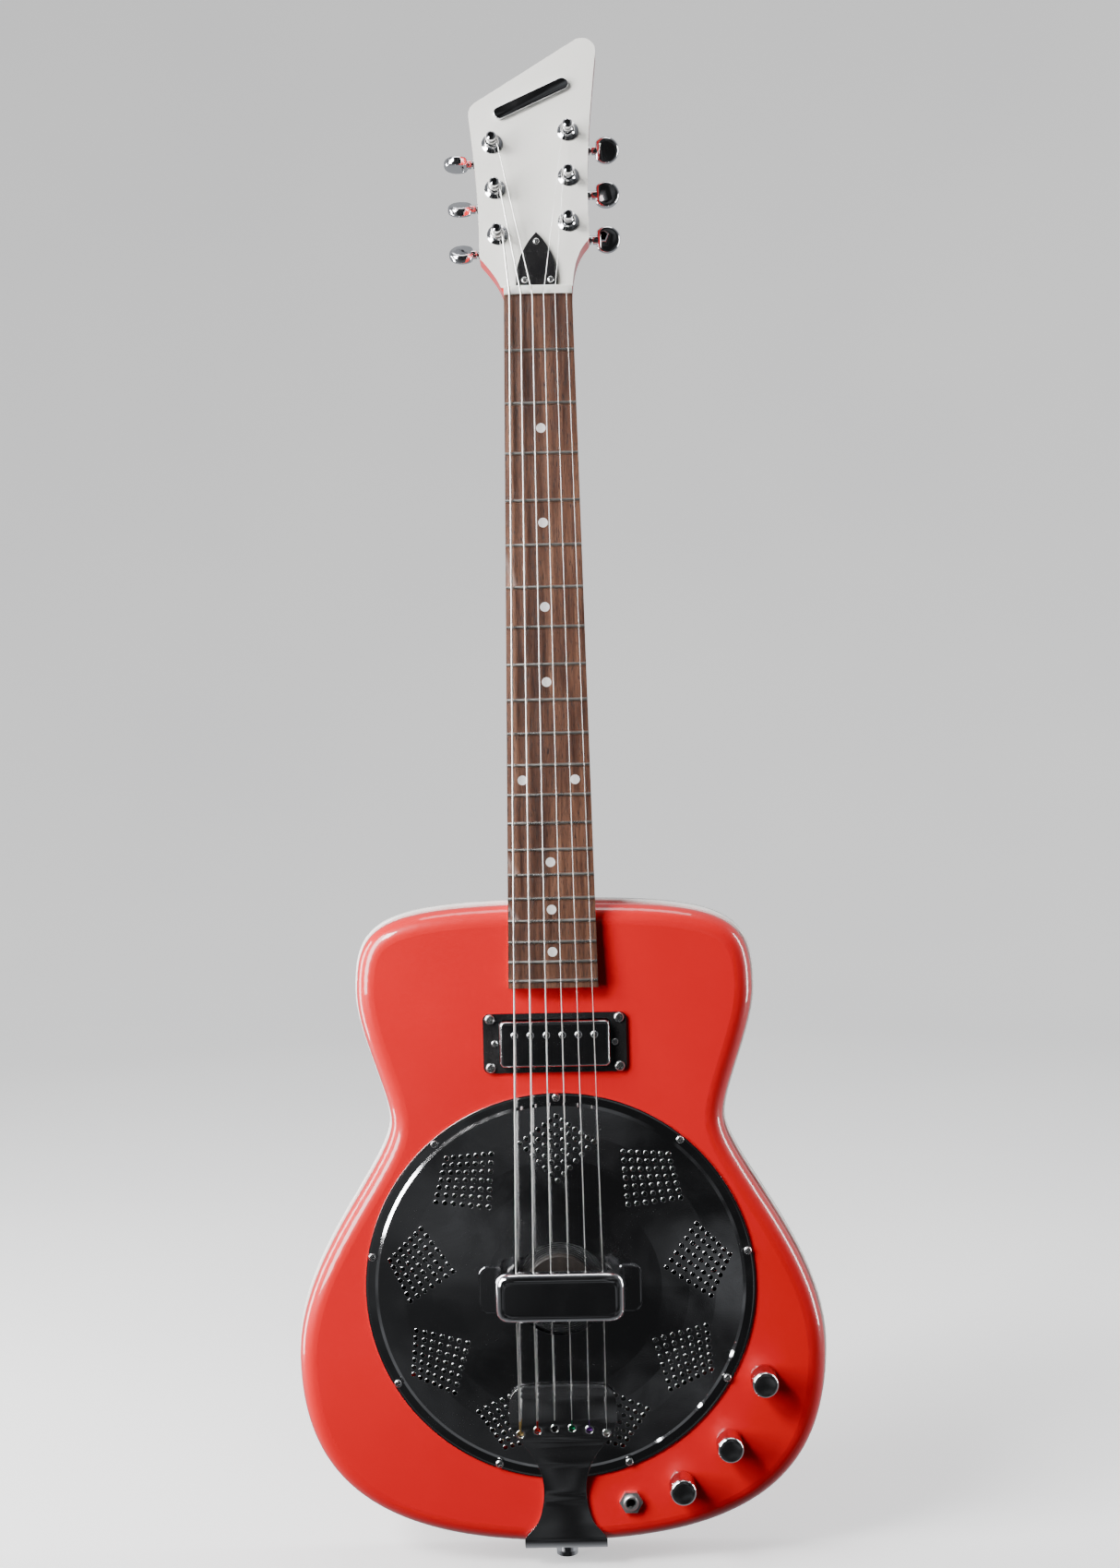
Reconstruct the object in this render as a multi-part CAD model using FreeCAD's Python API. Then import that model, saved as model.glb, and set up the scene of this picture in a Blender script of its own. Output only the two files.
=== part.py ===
import FreeCAD, Part
import math
import os

# Resonator guitar, six strings, solid edge body with a single resonator cone.
# Millimetres. +Z runs up along the neck, +X is the treble side, the strings face -Y.
# The origin is on the centreline, at mid depth, where the strap button meets the tailpiece.

V = FreeCAD.Vector

# ---------------------------------------------------------------- driving sizes
SCALE_LENGTH = 628.65        # nut edge to saddle, 24.75 in
FRET_COUNT = 20
NUT_WIDTH = 43.0
BOARD_END_WIDTH = 56.4
BOARD_END_GAP = 4.6          # board past the last fret
BOARD_THICK = 6.0
BOARD_RADIUS = 305.0         # 12 in crown
NECK_ANGLE = 3.0             # degrees, neck plane to body face
BOARD_LIFT = 18.5            # board plane above the body face at the saddle line

BODY_DEPTH = 50.0
BODY_BOTTOM = 168.0          # cone centre down to the body end
BODY_TOP = 242.0             # cone centre up to the body's upper end
LOWER_BOUT = 336.0
LOWER_BOUT_Z = -46.0         # heights from the cone centre
WAIST = 211.0
WAIST_Z = 105.0
UPPER_BOUT = 251.0
UPPER_BOUT_Z = 187.0
EDGE_ROUND = 12.0
FACE_THICK = 7.0             # body face over the chamber
WALL = 16.0                  # body wall round the chamber
CHAMBER_TOP = 112.0          # chamber ends here, solid block above
BINDING_WIDTH = 10.0
BINDING_INSET = 4.0
BINDING_PROUD = 2.0

COVER_RADIUS = 123.5
COVER_THICK = 1.0
COVER_RIM = 8.0              # flat rim outside the step
COVER_STEP = 1.0
COVER_DOME = 4.0
COVER_HOLE_RADIUS = 30.0     # opening over the bridge
COVER_SCREWS = 9
VENT_RADIUS = 1.5
VENT_GRID = 7

COVER_LAP = 13.5             # cover plate beyond the well of the cone
WELL_RADIUS = COVER_RADIUS - COVER_LAP
CONE_FLANGE = 9.0
CONE_THICK = 0.8
CONE_TOP = 3.2               # flat top of the cone above the body face
CONE_TOP_RADIUS = 26.0
LEDGE_WIDTH = 8.0
LEDGE_HEIGHT = 9.0
BISCUIT_RADIUS = 22.0
BISCUIT_THICK = 6.0
SADDLE_THICK = 3.0

REST_LENGTH = 81.0           # hand rest bar, along X
REST_WIDTH = 32.0
REST_TOP = 29.0              # above the body face
REST_THICK = 1.6
REST_EARS = 103.0
REST_EAR_HEIGHT = 30.0

TAIL_THICK = 1.5
TAIL_HOOD_WIDTH = 67.4
TAIL_WAIST_WIDTH = 27.0
TAIL_FOOT_WIDTH = 52.6
TAIL_HOLE_RADIUS = 2.2

PICKUP_Z = 155.6             # from the cone centre
RING_LENGTH = 90.4
RING_WIDTH = 37.6
RING_THICK = 1.8
RING_CORNER = 4.0
PICKUP_LENGTH = 69.2
PICKUP_WIDTH = 29.0
PICKUP_HEIGHT = 7.5
PICKUP_SHELL = 0.6
POLE_PITCH = 10.05
POLE_RADIUS = 2.3

STRING_DIAMETERS = [0.254, 0.33, 0.43, 0.66, 0.91, 1.17]   # first to sixth
SPREAD_NUT = 17.85           # half spread, first to sixth string
SPREAD_SADDLE = 27.3
ACTION_NUT = 1.5             # string underside over the board plane, clear of the frets
ACTION_SADDLE = 2.8
STRING_TURNS = 3

HEAD_TILT = 8.0              # degrees, headstock to board plane
HEAD_DROP = 5.0              # headstock face below the board plane at the nut
HEAD_THICK = 14.5
FACE_LAYER = 1.0
NUT_THICK = 5.5
NECK_DEPTH_NUT = 14.5        # wood below the board
NECK_DEPTH_HEEL = 16.5
HEEL_DEPTH = 19.0
HEEL_LENGTH = 24.0           # heel outside the body
FRET_WIDTH = 2.3
FRET_HEIGHT = 1.1
FRET_TANG = 0.6
TANG_DEPTH = 1.6
DOT_RADIUS = 3.0

POST_RADIUS = 3.0
POST_HEIGHT = 13.0           # above the headstock face
BUSHING_RADIUS = 6.7
BUSHING_HEIGHT = 3.2
SLEEVE_RADIUS = 4.9
WORM_PITCH = 1.4
GEAR_TEETH = 14
WORM_RADIUS = 2.1            # outside
WORM_ROOT = 1.1
TOOTH_THICK = 0.36
GEAR_WIDTH = 2.4
WORM_LENGTH = 7.0
KEY_SHAFT_RADIUS = 1.5
HOUSING_DEPTH = 8.6
BUTTON_RADIUS = 8.6
BUTTON_THICK = 6.4
RUN_CLEAR = 0.06             # radial running clearance
COIL_CLEAR = 0.10            # string coil to post

KNOB_RADIUS = 8.3
KNOB_HEIGHT = 17.0
KNOB_LIFT = 0.8
KNOB_FLARE = 3.2             # recess over the panel nut
POT_RADIUS = 8.0
POT_HEIGHT = 7.5
POT_SHAFT_RADIUS = 3.0
BUSH_RADIUS = 3.9
JACK_BORE = 3.2
JACK_SLEEVE = 4.7
JACK_NUT_FLATS = 13.0
STRAP_HEAD_RADIUS = 7.0
STRAP_HEAD_THICK = 2.8
STRAP_NECK_RADIUS = 4.0
STRAP_HEIGHT = 11.0
NECK_PLATE = 51.0
PLATE_THICK = 1.8
PLATE_SCREW_PITCH = 38.0
SCREW_RADIUS = 2.1
ROD_RADIUS = 2.5
ROD_LENGTH = 370.0
PLATE_SCREW_LENGTH = 44.0
PICKUP_POCKET = 15.0
STRAP_SCREW = 1.9
SADDLE_SLOT = 3.0
HOOD_TOP = -60.5             # heights from the cone centre
HOLE_LINE = -88.0
HOLE_ARC = 3.6               # outer holes sit lower
HOOD_LIFT = 8.9              # middle of the sheet above the body face at the holes
HOOD_CLEAR = 0.3             # hood lip over the cover plate
BEND_RADIUS = 9.0
TAIL_SPREAD = 27.2
TAIL_TAB = 12.0              # tab past mid depth on the body end
ROD_COVER_THICK = 2.0
BADGE_THICK = 2.6
COIL_LIFT = 7.7
COIL_RADIUS = 2.5            # waist of the post
BUTTON_FLAT = 6.6
BALL_RADIUS = 1.7
TAIL_LIE = 0.05              # tail sheet over the body face
STRING_GAP = 0.1             # string to the lip of its tail hole
GROOVE_REACH = 5.0           # the strip's groove is cut from this far outside
POCKET_SIDE = 3.0            # pickup hole longer than the pickup
POCKET_END = 1.5             # pickup hole wider than the pickup
POCKET_CORNER = 4.0
COVER_PILOT = 1.4            # pilot hole radius of the cover plate screws
COVER_PILOT_DEPTH = 6.5
RING_PILOT = 1.3             # pilot hole radius of the pickup ring screws
RING_PILOT_DEPTH = 12.0
RING_SCREW_IN = 4.5          # ring screw from the ring's end
RING_SCREW_UP = 3.4          # ring screw from the ring's long side
END_SCREW_DEPTH = 32.0       # hole for the end strap button's screw
BACK_SCREW_DEPTH = 20.0      # hole for the back strap button's screw
LIP_BEND = 0.2               # inside radius of the string at that lip
COIL_PACKING = 0.864         # turn spacing over string diameter
CASE_SCREW_RADIUS = 1.1
CASE_SCREW_LENGTH = 8.0
EAR_X = 5.8                  # tuner case ear, inboard of the post
EAR_OFFSET = 7.4             # and above it
EAR_RADIUS = 3.4
EAR_THICK = 1.6


# ---------------------------------------------------------------- derived places
FACE_Y = -BODY_DEPTH / 2
BACK_Y = BODY_DEPTH / 2
BODY_END_Z = TAIL_THICK + BINDING_PROUD
CONE_Z = BODY_END_Z + BODY_BOTTOM
SADDLE_Z = CONE_Z - 2.0
NUT_Z = SADDLE_Z + SCALE_LENGTH * math.cos(math.radians(NECK_ANGLE))
NUT_Y = FACE_Y - BOARD_LIFT + SCALE_LENGTH * math.sin(math.radians(NECK_ANGLE))
BODY_TOP_Z = CONE_Z + BODY_TOP
BOARD_LENGTH = SCALE_LENGTH * (1 - 2 ** (-FRET_COUNT / 12)) + BOARD_END_GAP
JOINT_S = (NUT_Z - BODY_TOP_Z) / math.cos(math.radians(NECK_ANGLE))
GEAR_RADIUS = GEAR_TEETH * WORM_PITCH / (2 * math.pi)
WORM_PITCH_RADIUS = (WORM_RADIUS + WORM_ROOT) / 2
WORM_OFFSET = GEAR_RADIUS + WORM_PITCH_RADIUS
GEAR_DEPTH = HEAD_THICK + 4.3      # gear centre behind the headstock face
ROD_DEPTH = BOARD_THICK + 4.2
COVER_SCREW_RADIUS = COVER_RADIUS - 2.8
NECK_PLATE_Z = BODY_TOP_Z - 29.0
STRAP_BACK_Z = NECK_PLATE_Z - 46.0
NECK = FreeCAD.Placement(V(0, NUT_Y, NUT_Z), FreeCAD.Rotation(V(1, 0, 0), -NECK_ANGLE))
HEAD = NECK.multiply(FreeCAD.Placement(V(0, HEAD_DROP, 0), FreeCAD.Rotation(V(1, 0, 0), -HEAD_TILT)))

# tuners, first to sixth string: x, height on the headstock, side, button turn at rest
TUNERS = [
    (20.0, 48.6, 1, 20.0),
    (20.6, 79.0, 1, 5.0),
    (20.8, 109.4, 1, 35.0),
    (-27.7, 102.2, -1, 88.0),
    (-26.2, 71.6, -1, 50.0),
    (-25.0, 41.0, -1, 40.0),
]
# knobs: x, height from the cone centre
KNOBS = {"volume": (127.4, -60.4), "blend": (104.9, -101.4), "tone": (74.6, -128.0)}
JACK = (41.8, -139.4)

nodes = {}


def placed(shape, placement):
    moved = shape.copy()
    moved.Placement = placement.multiply(moved.Placement)
    return moved


def box(x0, x1, y0, y1, z0, z1):
    return Part.makeBox(x1 - x0, y1 - y0, z1 - z0, V(x0, y0, z0))


def cyl(radius, start, end):
    axis = end.sub(start)
    return Part.makeCylinder(radius, axis.Length, start, axis)


def polygon(points):
    return Part.Face(Part.makePolygon(points + [points[0]]))


def turned(profile, origin, axis):
    """Solid of revolution; profile points are (radius, distance along the axis)."""
    axis = axis.normalize()
    side = V(1, 0, 0) if abs(axis.x) < 0.9 else V(0, 0, 1)
    points = [origin.add(side * r).add(axis * d) for r, d in profile]
    return polygon(points).revolve(origin, axis, 360)


def rounded_rect(length, width, radius, x0, y0, z0, thick):
    """Rounded plate in the XZ plane, from y0 towards +Y."""
    plate = box(x0 - length / 2, x0 + length / 2, y0, y0 + thick, z0 - width / 2, z0 + width / 2)
    corners = [e for e in plate.Edges if abs(e.tangentAt(e.FirstParameter).y) > 0.99]
    return plate.makeFillet(radius, corners)


def body_wire(grow, y):
    """Closed outline of the body at depth y, grown outwards by grow."""
    top = CONE_Z + BODY_TOP
    end = CONE_Z - BODY_BOTTOM
    up, waist, low = UPPER_BOUT / 2, WAIST / 2, LOWER_BOUT / 2
    up_z, waist_z, low_z = CONE_Z + UPPER_BOUT_Z, CONE_Z + WAIST_Z, CONE_Z + LOWER_BOUT_Z
    spans = [
        [(0, top), (up * 0.889, top), (up, up_z + (top - up_z) * 0.82), (up, up_z)],
        [(up, up_z), (up, up_z - (up_z - waist_z) * 0.312), (waist, waist_z + (up_z - waist_z) * 0.22),
         (waist, waist_z)],
        [(waist, waist_z), (waist, waist_z - (waist_z - low_z) * 0.187),
         (low, low_z + (waist_z - low_z) * 0.43), (low, low_z)],
        [(low, low_z), (low, low_z - (low_z - end) * 0.517), (low * 0.834, end), (0, end)],
    ]
    edges = []
    for side in (1, -1):
        for span in spans:
            curve = Part.BezierCurve()
            curve.setPoles([V(side * x, y, z) for x, z in span])
            edges.append(curve.toShape())
    wire = Part.Wire(Part.__sortEdges__(edges))
    if grow:
        wire = smooth_copy(wire.makeOffset2D(grow))
    return wire


def smooth_copy(wire):
    """The same wire with each offset edge rebuilt as one spline."""
    edges = []
    for edge in wire.Edges:
        curve = Part.BSplineCurve()
        curve.interpolate(edge.discretize(24))
        edges.append(curve.toShape())
    return Part.Wire(Part.__sortEdges__(edges))


def body_slab(grow, y0, y1):
    return Part.Face(body_wire(grow, y0)).extrude(V(0, y1 - y0, 0))


def rounded_half(y_outer, y_inner):
    slab = body_slab(0, y_outer, y_inner)
    rim = [e for e in slab.Edges if abs(e.CenterOfMass.y - y_outer) < 0.01]
    return slab.makeFillet(EDGE_ROUND, rim)


def from_cone(x, y, z):
    return V(x, y, CONE_Z + z)


def head_point(x, y, z):
    return HEAD.multVec(V(x, y, z))


def put(name, shape):
    nodes[name] = shape


def union(shapes):
    first, rest = shapes[0], shapes[1:]
    return first.fuse(rest).removeSplitter() if rest else first


def screw(head_radius, head_height, radius, seat, along, length):
    """Domed-head screw; the head sits on seat, the shank runs along."""
    profile = [(0, -head_height), (head_radius * 0.55, -head_height), (head_radius, -head_height * 0.4),
               (head_radius, 0), (radius, 0), (radius, length - radius), (0.2, length), (0, length)]
    return turned(profile, seat, V(along))


# ---------------------------------------------------------------- neck pieces (neck frame)
def board_half(s):
    """Half width of the board at distance s below the nut edge."""
    return (NUT_WIDTH + (BOARD_END_WIDTH - NUT_WIDTH) * s / BOARD_LENGTH) / 2


def crown(extra=0.0):
    """Cylinder that gives the board its crowned top."""
    radius = BOARD_RADIUS + extra
    centre = BOARD_RADIUS
    return Part.makeCylinder(radius, BOARD_LENGTH + 60, V(0, centre, -BOARD_LENGTH - 30), V(0, 0, 1))


def board_plan(y0, y1, s0=0.0, s1=BOARD_LENGTH, inset=0.0):
    a, b = board_half(s0) - inset, board_half(s1) - inset
    face = polygon([V(-a, y0, -s0), V(a, y0, -s0), V(b, y0, -s1), V(-b, y0, -s1)])
    return face.extrude(V(0, y1 - y0, 0))


def fret_wire(number):
    s = SCALE_LENGTH * (1 - 2 ** (-number / 12))
    half = FRET_WIDTH / 2
    top = FRET_HEIGHT
    section = [V(0, -top, -s), V(0, -top * 0.8, -s - half * 0.6), V(0, 0, -s - half),
               V(0, 0, -s - FRET_TANG / 2), V(0, TANG_DEPTH, -s - FRET_TANG / 2),
               V(0, TANG_DEPTH, -s + FRET_TANG / 2), V(0, 0, -s + FRET_TANG / 2),
               V(0, 0, -s + half), V(0, -top * 0.8, -s + half * 0.6)]
    reach = math.degrees(math.asin((board_half(s) - 0.3) / BOARD_RADIUS))
    wire = polygon(section)
    wire.rotate(V(0, BOARD_RADIUS, 0), V(0, 0, 1), -reach)
    return wire.revolve(V(0, BOARD_RADIUS, 0), V(0, 0, 1), 2 * reach)


def half_oval(half, depth, y, s):
    """Back half of an oval neck section, flat side at y."""
    major, minor = max(half, depth), min(half, depth)
    x_axis = V(1, 0, 0) if half >= depth else V(0, 1, 0)
    oval = Part.Ellipse(V(0, y, -s).add(x_axis * major),
                        V(0, y, -s).add((V(0, 1, 0) if half >= depth else V(-1, 0, 0)) * minor), V(0, y, -s))
    start = oval.parameter(V(half, y, -s))
    end = oval.parameter(V(-half, y, -s))
    if end < start:
        end += 2 * math.pi
    arc = oval.toShape(start, end)
    if arc.CenterOfMass.y < y:
        arc = oval.toShape(end, start + 2 * math.pi)
    flat = Part.makeLine(V(-half, y, -s), V(half, y, -s))
    return Part.Wire(Part.__sortEdges__([arc, flat]))


def build_neck():
    heel_s = JOINT_S - HEEL_LENGTH
    shaft = Part.makeLoft([half_oval(board_half(-6), NECK_DEPTH_NUT, BOARD_THICK, -6),
                           half_oval(board_half(heel_s + 10), NECK_DEPTH_HEEL, BOARD_THICK, heel_s + 10)],
                          True, True)
    heel = board_plan(BOARD_THICK, BOARD_THICK + HEEL_DEPTH, heel_s, BOARD_LENGTH)
    deep = [e for e in heel.Edges if e.CenterOfMass.y > BOARD_THICK + HEEL_DEPTH - 0.1
            and e.CenterOfMass.z > -BOARD_LENGTH + 1]
    heel = heel.makeFillet(7.0, deep)
    blank = head_blank(FACE_LAYER, HEAD_THICK)
    blank = placed(blank, FreeCAD.Placement(V(0, HEAD_DROP, 0), FreeCAD.Rotation(V(1, 0, 0), -HEAD_TILT)))
    neck = union([shaft, heel, blank])
    neck = neck.cut(box(-40, 40, -20, BOARD_THICK, 0, NUT_THICK + 0.2))
    neck = neck.cut(box(-40, 40, -20, BOARD_THICK, -BOARD_LENGTH - 1, 0))
    rod = cyl(ROD_RADIUS, V(0, ROD_DEPTH, -ROD_LENGTH), V(0, ROD_DEPTH, NUT_THICK + 24))
    return neck.cut(rod)


def head_blank(y0, y1):
    """Headstock board between depths y0 and y1, in the headstock frame."""
    def line(a, b):
        return Part.makeLine(V(a[0], y0, a[1]), V(b[0], y0, b[1]))

    def bow(points):
        curve = Part.BSplineCurve()
        curve.interpolate([V(x, y0, z) for x, z in points])
        return curve.toShape()

    foot_left, shoulder_left, crown_left = (-21.5, 0), (-36.9, 26.5), (-43.4, 127.2)
    tip, shoulder_right, foot_right = (41.6, 181.4), (33.4, 37.5), (21.5, 0)
    edges = [bow([foot_left, (-24.4, 8.5), (-30.6, 18.6), shoulder_left]),
             bow([shoulder_left, (-37.2, 58), (-39.8, 95), crown_left]),
             line(crown_left, tip),
             bow([tip, (36.2, 132), (33.2, 90), shoulder_right]),
             bow([shoulder_right, (26.4, 27.5), (22.4, 12), foot_right]),
             line(foot_right, foot_left)]
    slab = Part.Face(Part.Wire(Part.__sortEdges__(edges))).extrude(V(0, y1 - y0, 0))
    for corner, radius in ((shoulder_left, 4.0), (crown_left, 10.0), (tip, 8.8), (shoulder_right, 6.0)):
        near = [e for e in slab.Edges if abs(e.CenterOfMass.x - corner[0]) < 0.2
                and abs(e.CenterOfMass.z - corner[1]) < 0.2]
        slab = slab.makeFillet(radius, near)
    return slab


def string_side(index, nut):
    """X of a string at the nut or the saddle; index 0 is the first string, treble side."""
    spread = SPREAD_NUT if nut else SPREAD_SADDLE
    return spread - 2 * spread * index / 5


def string_nut_point(index):
    radius = STRING_DIAMETERS[index] / 2
    x = string_side(index, True)
    return NECK.multVec(V(x, -ACTION_NUT - radius + crown_drop(x), 0))


def string_saddle_point(index):
    radius = STRING_DIAMETERS[index] / 2
    return NECK.multVec(V(string_side(index, False), -ACTION_SADDLE - radius, -SCALE_LENGTH))


def crown_drop(x):
    return BOARD_RADIUS - math.sqrt(BOARD_RADIUS ** 2 - x * x)


# ---------------------------------------------------------------- body
def tongue_pocket():
    pocket = board_plan(BOARD_THICK - 12, BOARD_THICK + HEEL_DEPTH, JOINT_S - 12, BOARD_LENGTH)
    return placed(pocket, NECK)


def chamber(y0, y1):
    space = Part.Face(body_wire(-WALL, y0)).extrude(V(0, y1 - y0, 0))
    return space.cut(box(-300, 300, y0 - 1, y1 + 1, CONE_Z + CHAMBER_TOP, CONE_Z + 400))


def binding_groove():
    half = BINDING_WIDTH / 2
    return body_slab(GROOVE_REACH, -half, half).cut(body_slab(-BINDING_INSET, -half, half))


def screw_circle():
    return [math.radians(360.0 * i / COVER_SCREWS) for i in range(COVER_SCREWS)]


def cover_screw_point(angle, y):
    return from_cone(COVER_SCREW_RADIUS * math.sin(angle), y, COVER_SCREW_RADIUS * math.cos(angle))


def ring_screw_points():
    x, z = RING_LENGTH / 2 - RING_SCREW_IN, RING_WIDTH / 2 - RING_SCREW_UP
    return [(sx * x, PICKUP_Z + sz * z) for sx in (-1, 1) for sz in (-1, 1)]


def plate_screw_points():
    half = PLATE_SCREW_PITCH / 2
    return [(sx * half, NECK_PLATE_Z + sz * half) for sx in (-1, 1) for sz in (-1, 1)]


def build_body():
    front = rounded_half(FACE_Y, 0)
    back = rounded_half(BACK_Y, 0)
    groove = binding_groove()
    under_face = FACE_Y + FACE_THICK + 1
    well = cyl(WELL_RADIUS, from_cone(0, FACE_Y - 1, 0), from_cone(0, under_face, 0))
    pickup_hole = rounded_rect(PICKUP_LENGTH + POCKET_SIDE, PICKUP_WIDTH + POCKET_END, POCKET_CORNER,
                               0, FACE_Y - 1, CONE_Z + PICKUP_Z, PICKUP_POCKET + 1)
    front = front.cut([groove, chamber(FACE_Y + FACE_THICK, 0), well, tongue_pocket(), pickup_hole])
    back = back.cut([groove, chamber(0, BACK_Y - FACE_THICK)])
    drills = [cyl(SCREW_RADIUS, V(x, FACE_Y - 5, z), V(x, BACK_Y + 1, z)) for x, z in plate_screw_points()]
    pilot_end = FACE_Y + COVER_PILOT_DEPTH
    drills += [cyl(COVER_PILOT, cover_screw_point(a, FACE_Y - 1), cover_screw_point(a, pilot_end))
               for a in screw_circle()]
    drills += [cyl(RING_PILOT, from_cone(x, FACE_Y - 1, z), from_cone(x, FACE_Y + RING_PILOT_DEPTH, z))
               for x, z in ring_screw_points()]
    drills += [cyl(BUSH_RADIUS, from_cone(x, FACE_Y - 1, z), from_cone(x, under_face, z))
               for x, z in KNOBS.values()]
    drills.append(cyl(JACK_SLEEVE, from_cone(JACK[0], FACE_Y - 1, JACK[1]),
                      from_cone(JACK[0], under_face, JACK[1])))
    drills.append(cyl(STRAP_SCREW, V(0, 0, 0), V(0, 0, END_SCREW_DEPTH)))
    drills.append(cyl(STRAP_SCREW, V(0, BACK_Y + 1, STRAP_BACK_Z),
                      V(0, BACK_Y - BACK_SCREW_DEPTH, STRAP_BACK_Z)))
    put("body_front", front.cut(drills))
    put("body_back", back.cut(drills))


def build_binding():
    half = BINDING_WIDTH / 2
    outer = body_slab(BINDING_PROUD, -half, half)
    rim = [e for e in outer.Edges if abs(abs(e.CenterOfMass.y) - half) < 0.01]
    outer = outer.makeFillet(BINDING_PROUD * 0.9, rim)
    ring = outer.cut(body_slab(-BINDING_INSET, -half, half))
    ring = ring.cut([tongue_pocket(), cyl(STRAP_SCREW, V(0, 0, -5), V(0, 0, END_SCREW_DEPTH))])
    put("side_binding", ring)


# ---------------------------------------------------------------- resonator
def cover_height(r):
    """Outside of the cover plate above the body face at radius r."""
    step_radius = COVER_RADIUS - COVER_RIM
    return COVER_THICK + COVER_STEP + COVER_DOME * (1 - (r / step_radius) ** 2)


def vent_points():
    """Nine kite-shaped groups of vents: short outer sides, long inner sides."""
    outer, side, inner = (0.0, 109.0), (23.3, 92.5), (0.0, 68.5)
    points = []
    last = VENT_GRID - 1
    for angle in screw_circle():
        for i in range(VENT_GRID):
            for j in range(VENT_GRID):
                u, v = i / last, j / last
                x = (u - v) * side[0]
                z = (1 - u) * (1 - v) * outer[1] + (u * (1 - v) + v * (1 - u)) * side[1] + u * v * inner[1]
                points.append((x * math.cos(angle) + z * math.sin(angle),
                               z * math.cos(angle) - x * math.sin(angle)))
    return points


def build_cover():
    step_radius = COVER_RADIUS - COVER_RIM
    outside = [(COVER_HOLE_RADIUS + (step_radius - COVER_HOLE_RADIUS) * k / 5) for k in range(6)]
    top = [(r, cover_height(r)) for r in outside]
    profile = top + [(step_radius + 2.0, COVER_THICK), (COVER_RADIUS, COVER_THICK), (COVER_RADIUS, 0),
                     (step_radius + 1.4, 0)]
    profile += [(r, h - COVER_THICK) for r, h in reversed(top)]
    plate = turned(profile, from_cone(0, FACE_Y, 0), V(0, -1, 0))
    tools = [cyl(VENT_RADIUS, from_cone(x, FACE_Y - 9, z), from_cone(x, FACE_Y + 1, z))
             for x, z in vent_points()]
    tools += [cyl(1.6, cover_screw_point(a, FACE_Y - 3), cover_screw_point(a, FACE_Y + 1))
              for a in screw_circle()]
    put("cover_plate", plate.cut(tools))
    heads = [screw(2.6, 1.6, 1.4, cover_screw_point(a, FACE_Y - COVER_THICK), V(0, 1, 0), 7.5)
             for a in screw_circle()]
    put("cover_plate_screws", Part.makeCompound(heads))


def build_cone():
    seat = -FACE_THICK
    flange_in = WELL_RADIUS - CONE_FLANGE
    top = CONE_TOP
    cone = [(0, top), (CONE_TOP_RADIUS, top), (flange_in, seat + CONE_THICK),
            (WELL_RADIUS - 0.5, seat + CONE_THICK),
            (WELL_RADIUS - 0.5, seat), (flange_in - 0.6, seat), (CONE_TOP_RADIUS - 0.6, top - CONE_THICK),
            (0, top - CONE_THICK)]
    centre = from_cone(0, FACE_Y, 0)
    put("resonator_cone", turned(cone, centre, V(0, -1, 0)))
    inner, outer = WELL_RADIUS - CONE_FLANGE - 1.0, WELL_RADIUS + LEDGE_WIDTH
    ledge = turned([(inner, seat), (outer, seat), (outer, seat - LEDGE_HEIGHT), (inner, seat - LEDGE_HEIGHT)],
                   centre, V(0, -1, 0))
    put("cone_ledge", ledge.common(chamber(FACE_Y + FACE_THICK, 0)))
    biscuit = turned([(0, top), (BISCUIT_RADIUS, top), (BISCUIT_RADIUS, top + BISCUIT_THICK - 0.8),
                      (BISCUIT_RADIUS - 0.8, top + BISCUIT_THICK), (0, top + BISCUIT_THICK)],
                     centre, V(0, -1, 0))
    slot = box(-60, 60, FACE_Y - top - BISCUIT_THICK - 1, FACE_Y - top - BISCUIT_THICK + SADDLE_SLOT,
               SADDLE_Z - SADDLE_THICK / 2, SADDLE_Z + SADDLE_THICK / 2)
    put("bridge_biscuit", biscuit.cut(slot))
    low = FACE_Y - top - BISCUIT_THICK
    high = min(string_saddle_point(i).y for i in range(6)) + 0.2
    half = SPREAD_SADDLE + 3.5
    blade = box(-half, half, high, low, SADDLE_Z - SADDLE_THICK / 2, SADDLE_Z + SADDLE_THICK / 2)
    root = box(-BISCUIT_RADIUS * 0.9, BISCUIT_RADIUS * 0.9, low, low + SADDLE_SLOT,
               SADDLE_Z - SADDLE_THICK / 2, SADDLE_Z + SADDLE_THICK / 2)
    grooves = [cyl(STRING_DIAMETERS[i] / 2, string_saddle_point(i).add(V(0, 0, -9)),
                   string_saddle_point(i).add(V(0, 0, 9))) for i in range(6)]
    put("bridge_saddle", union([blade, root]).cut(grooves))


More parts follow.
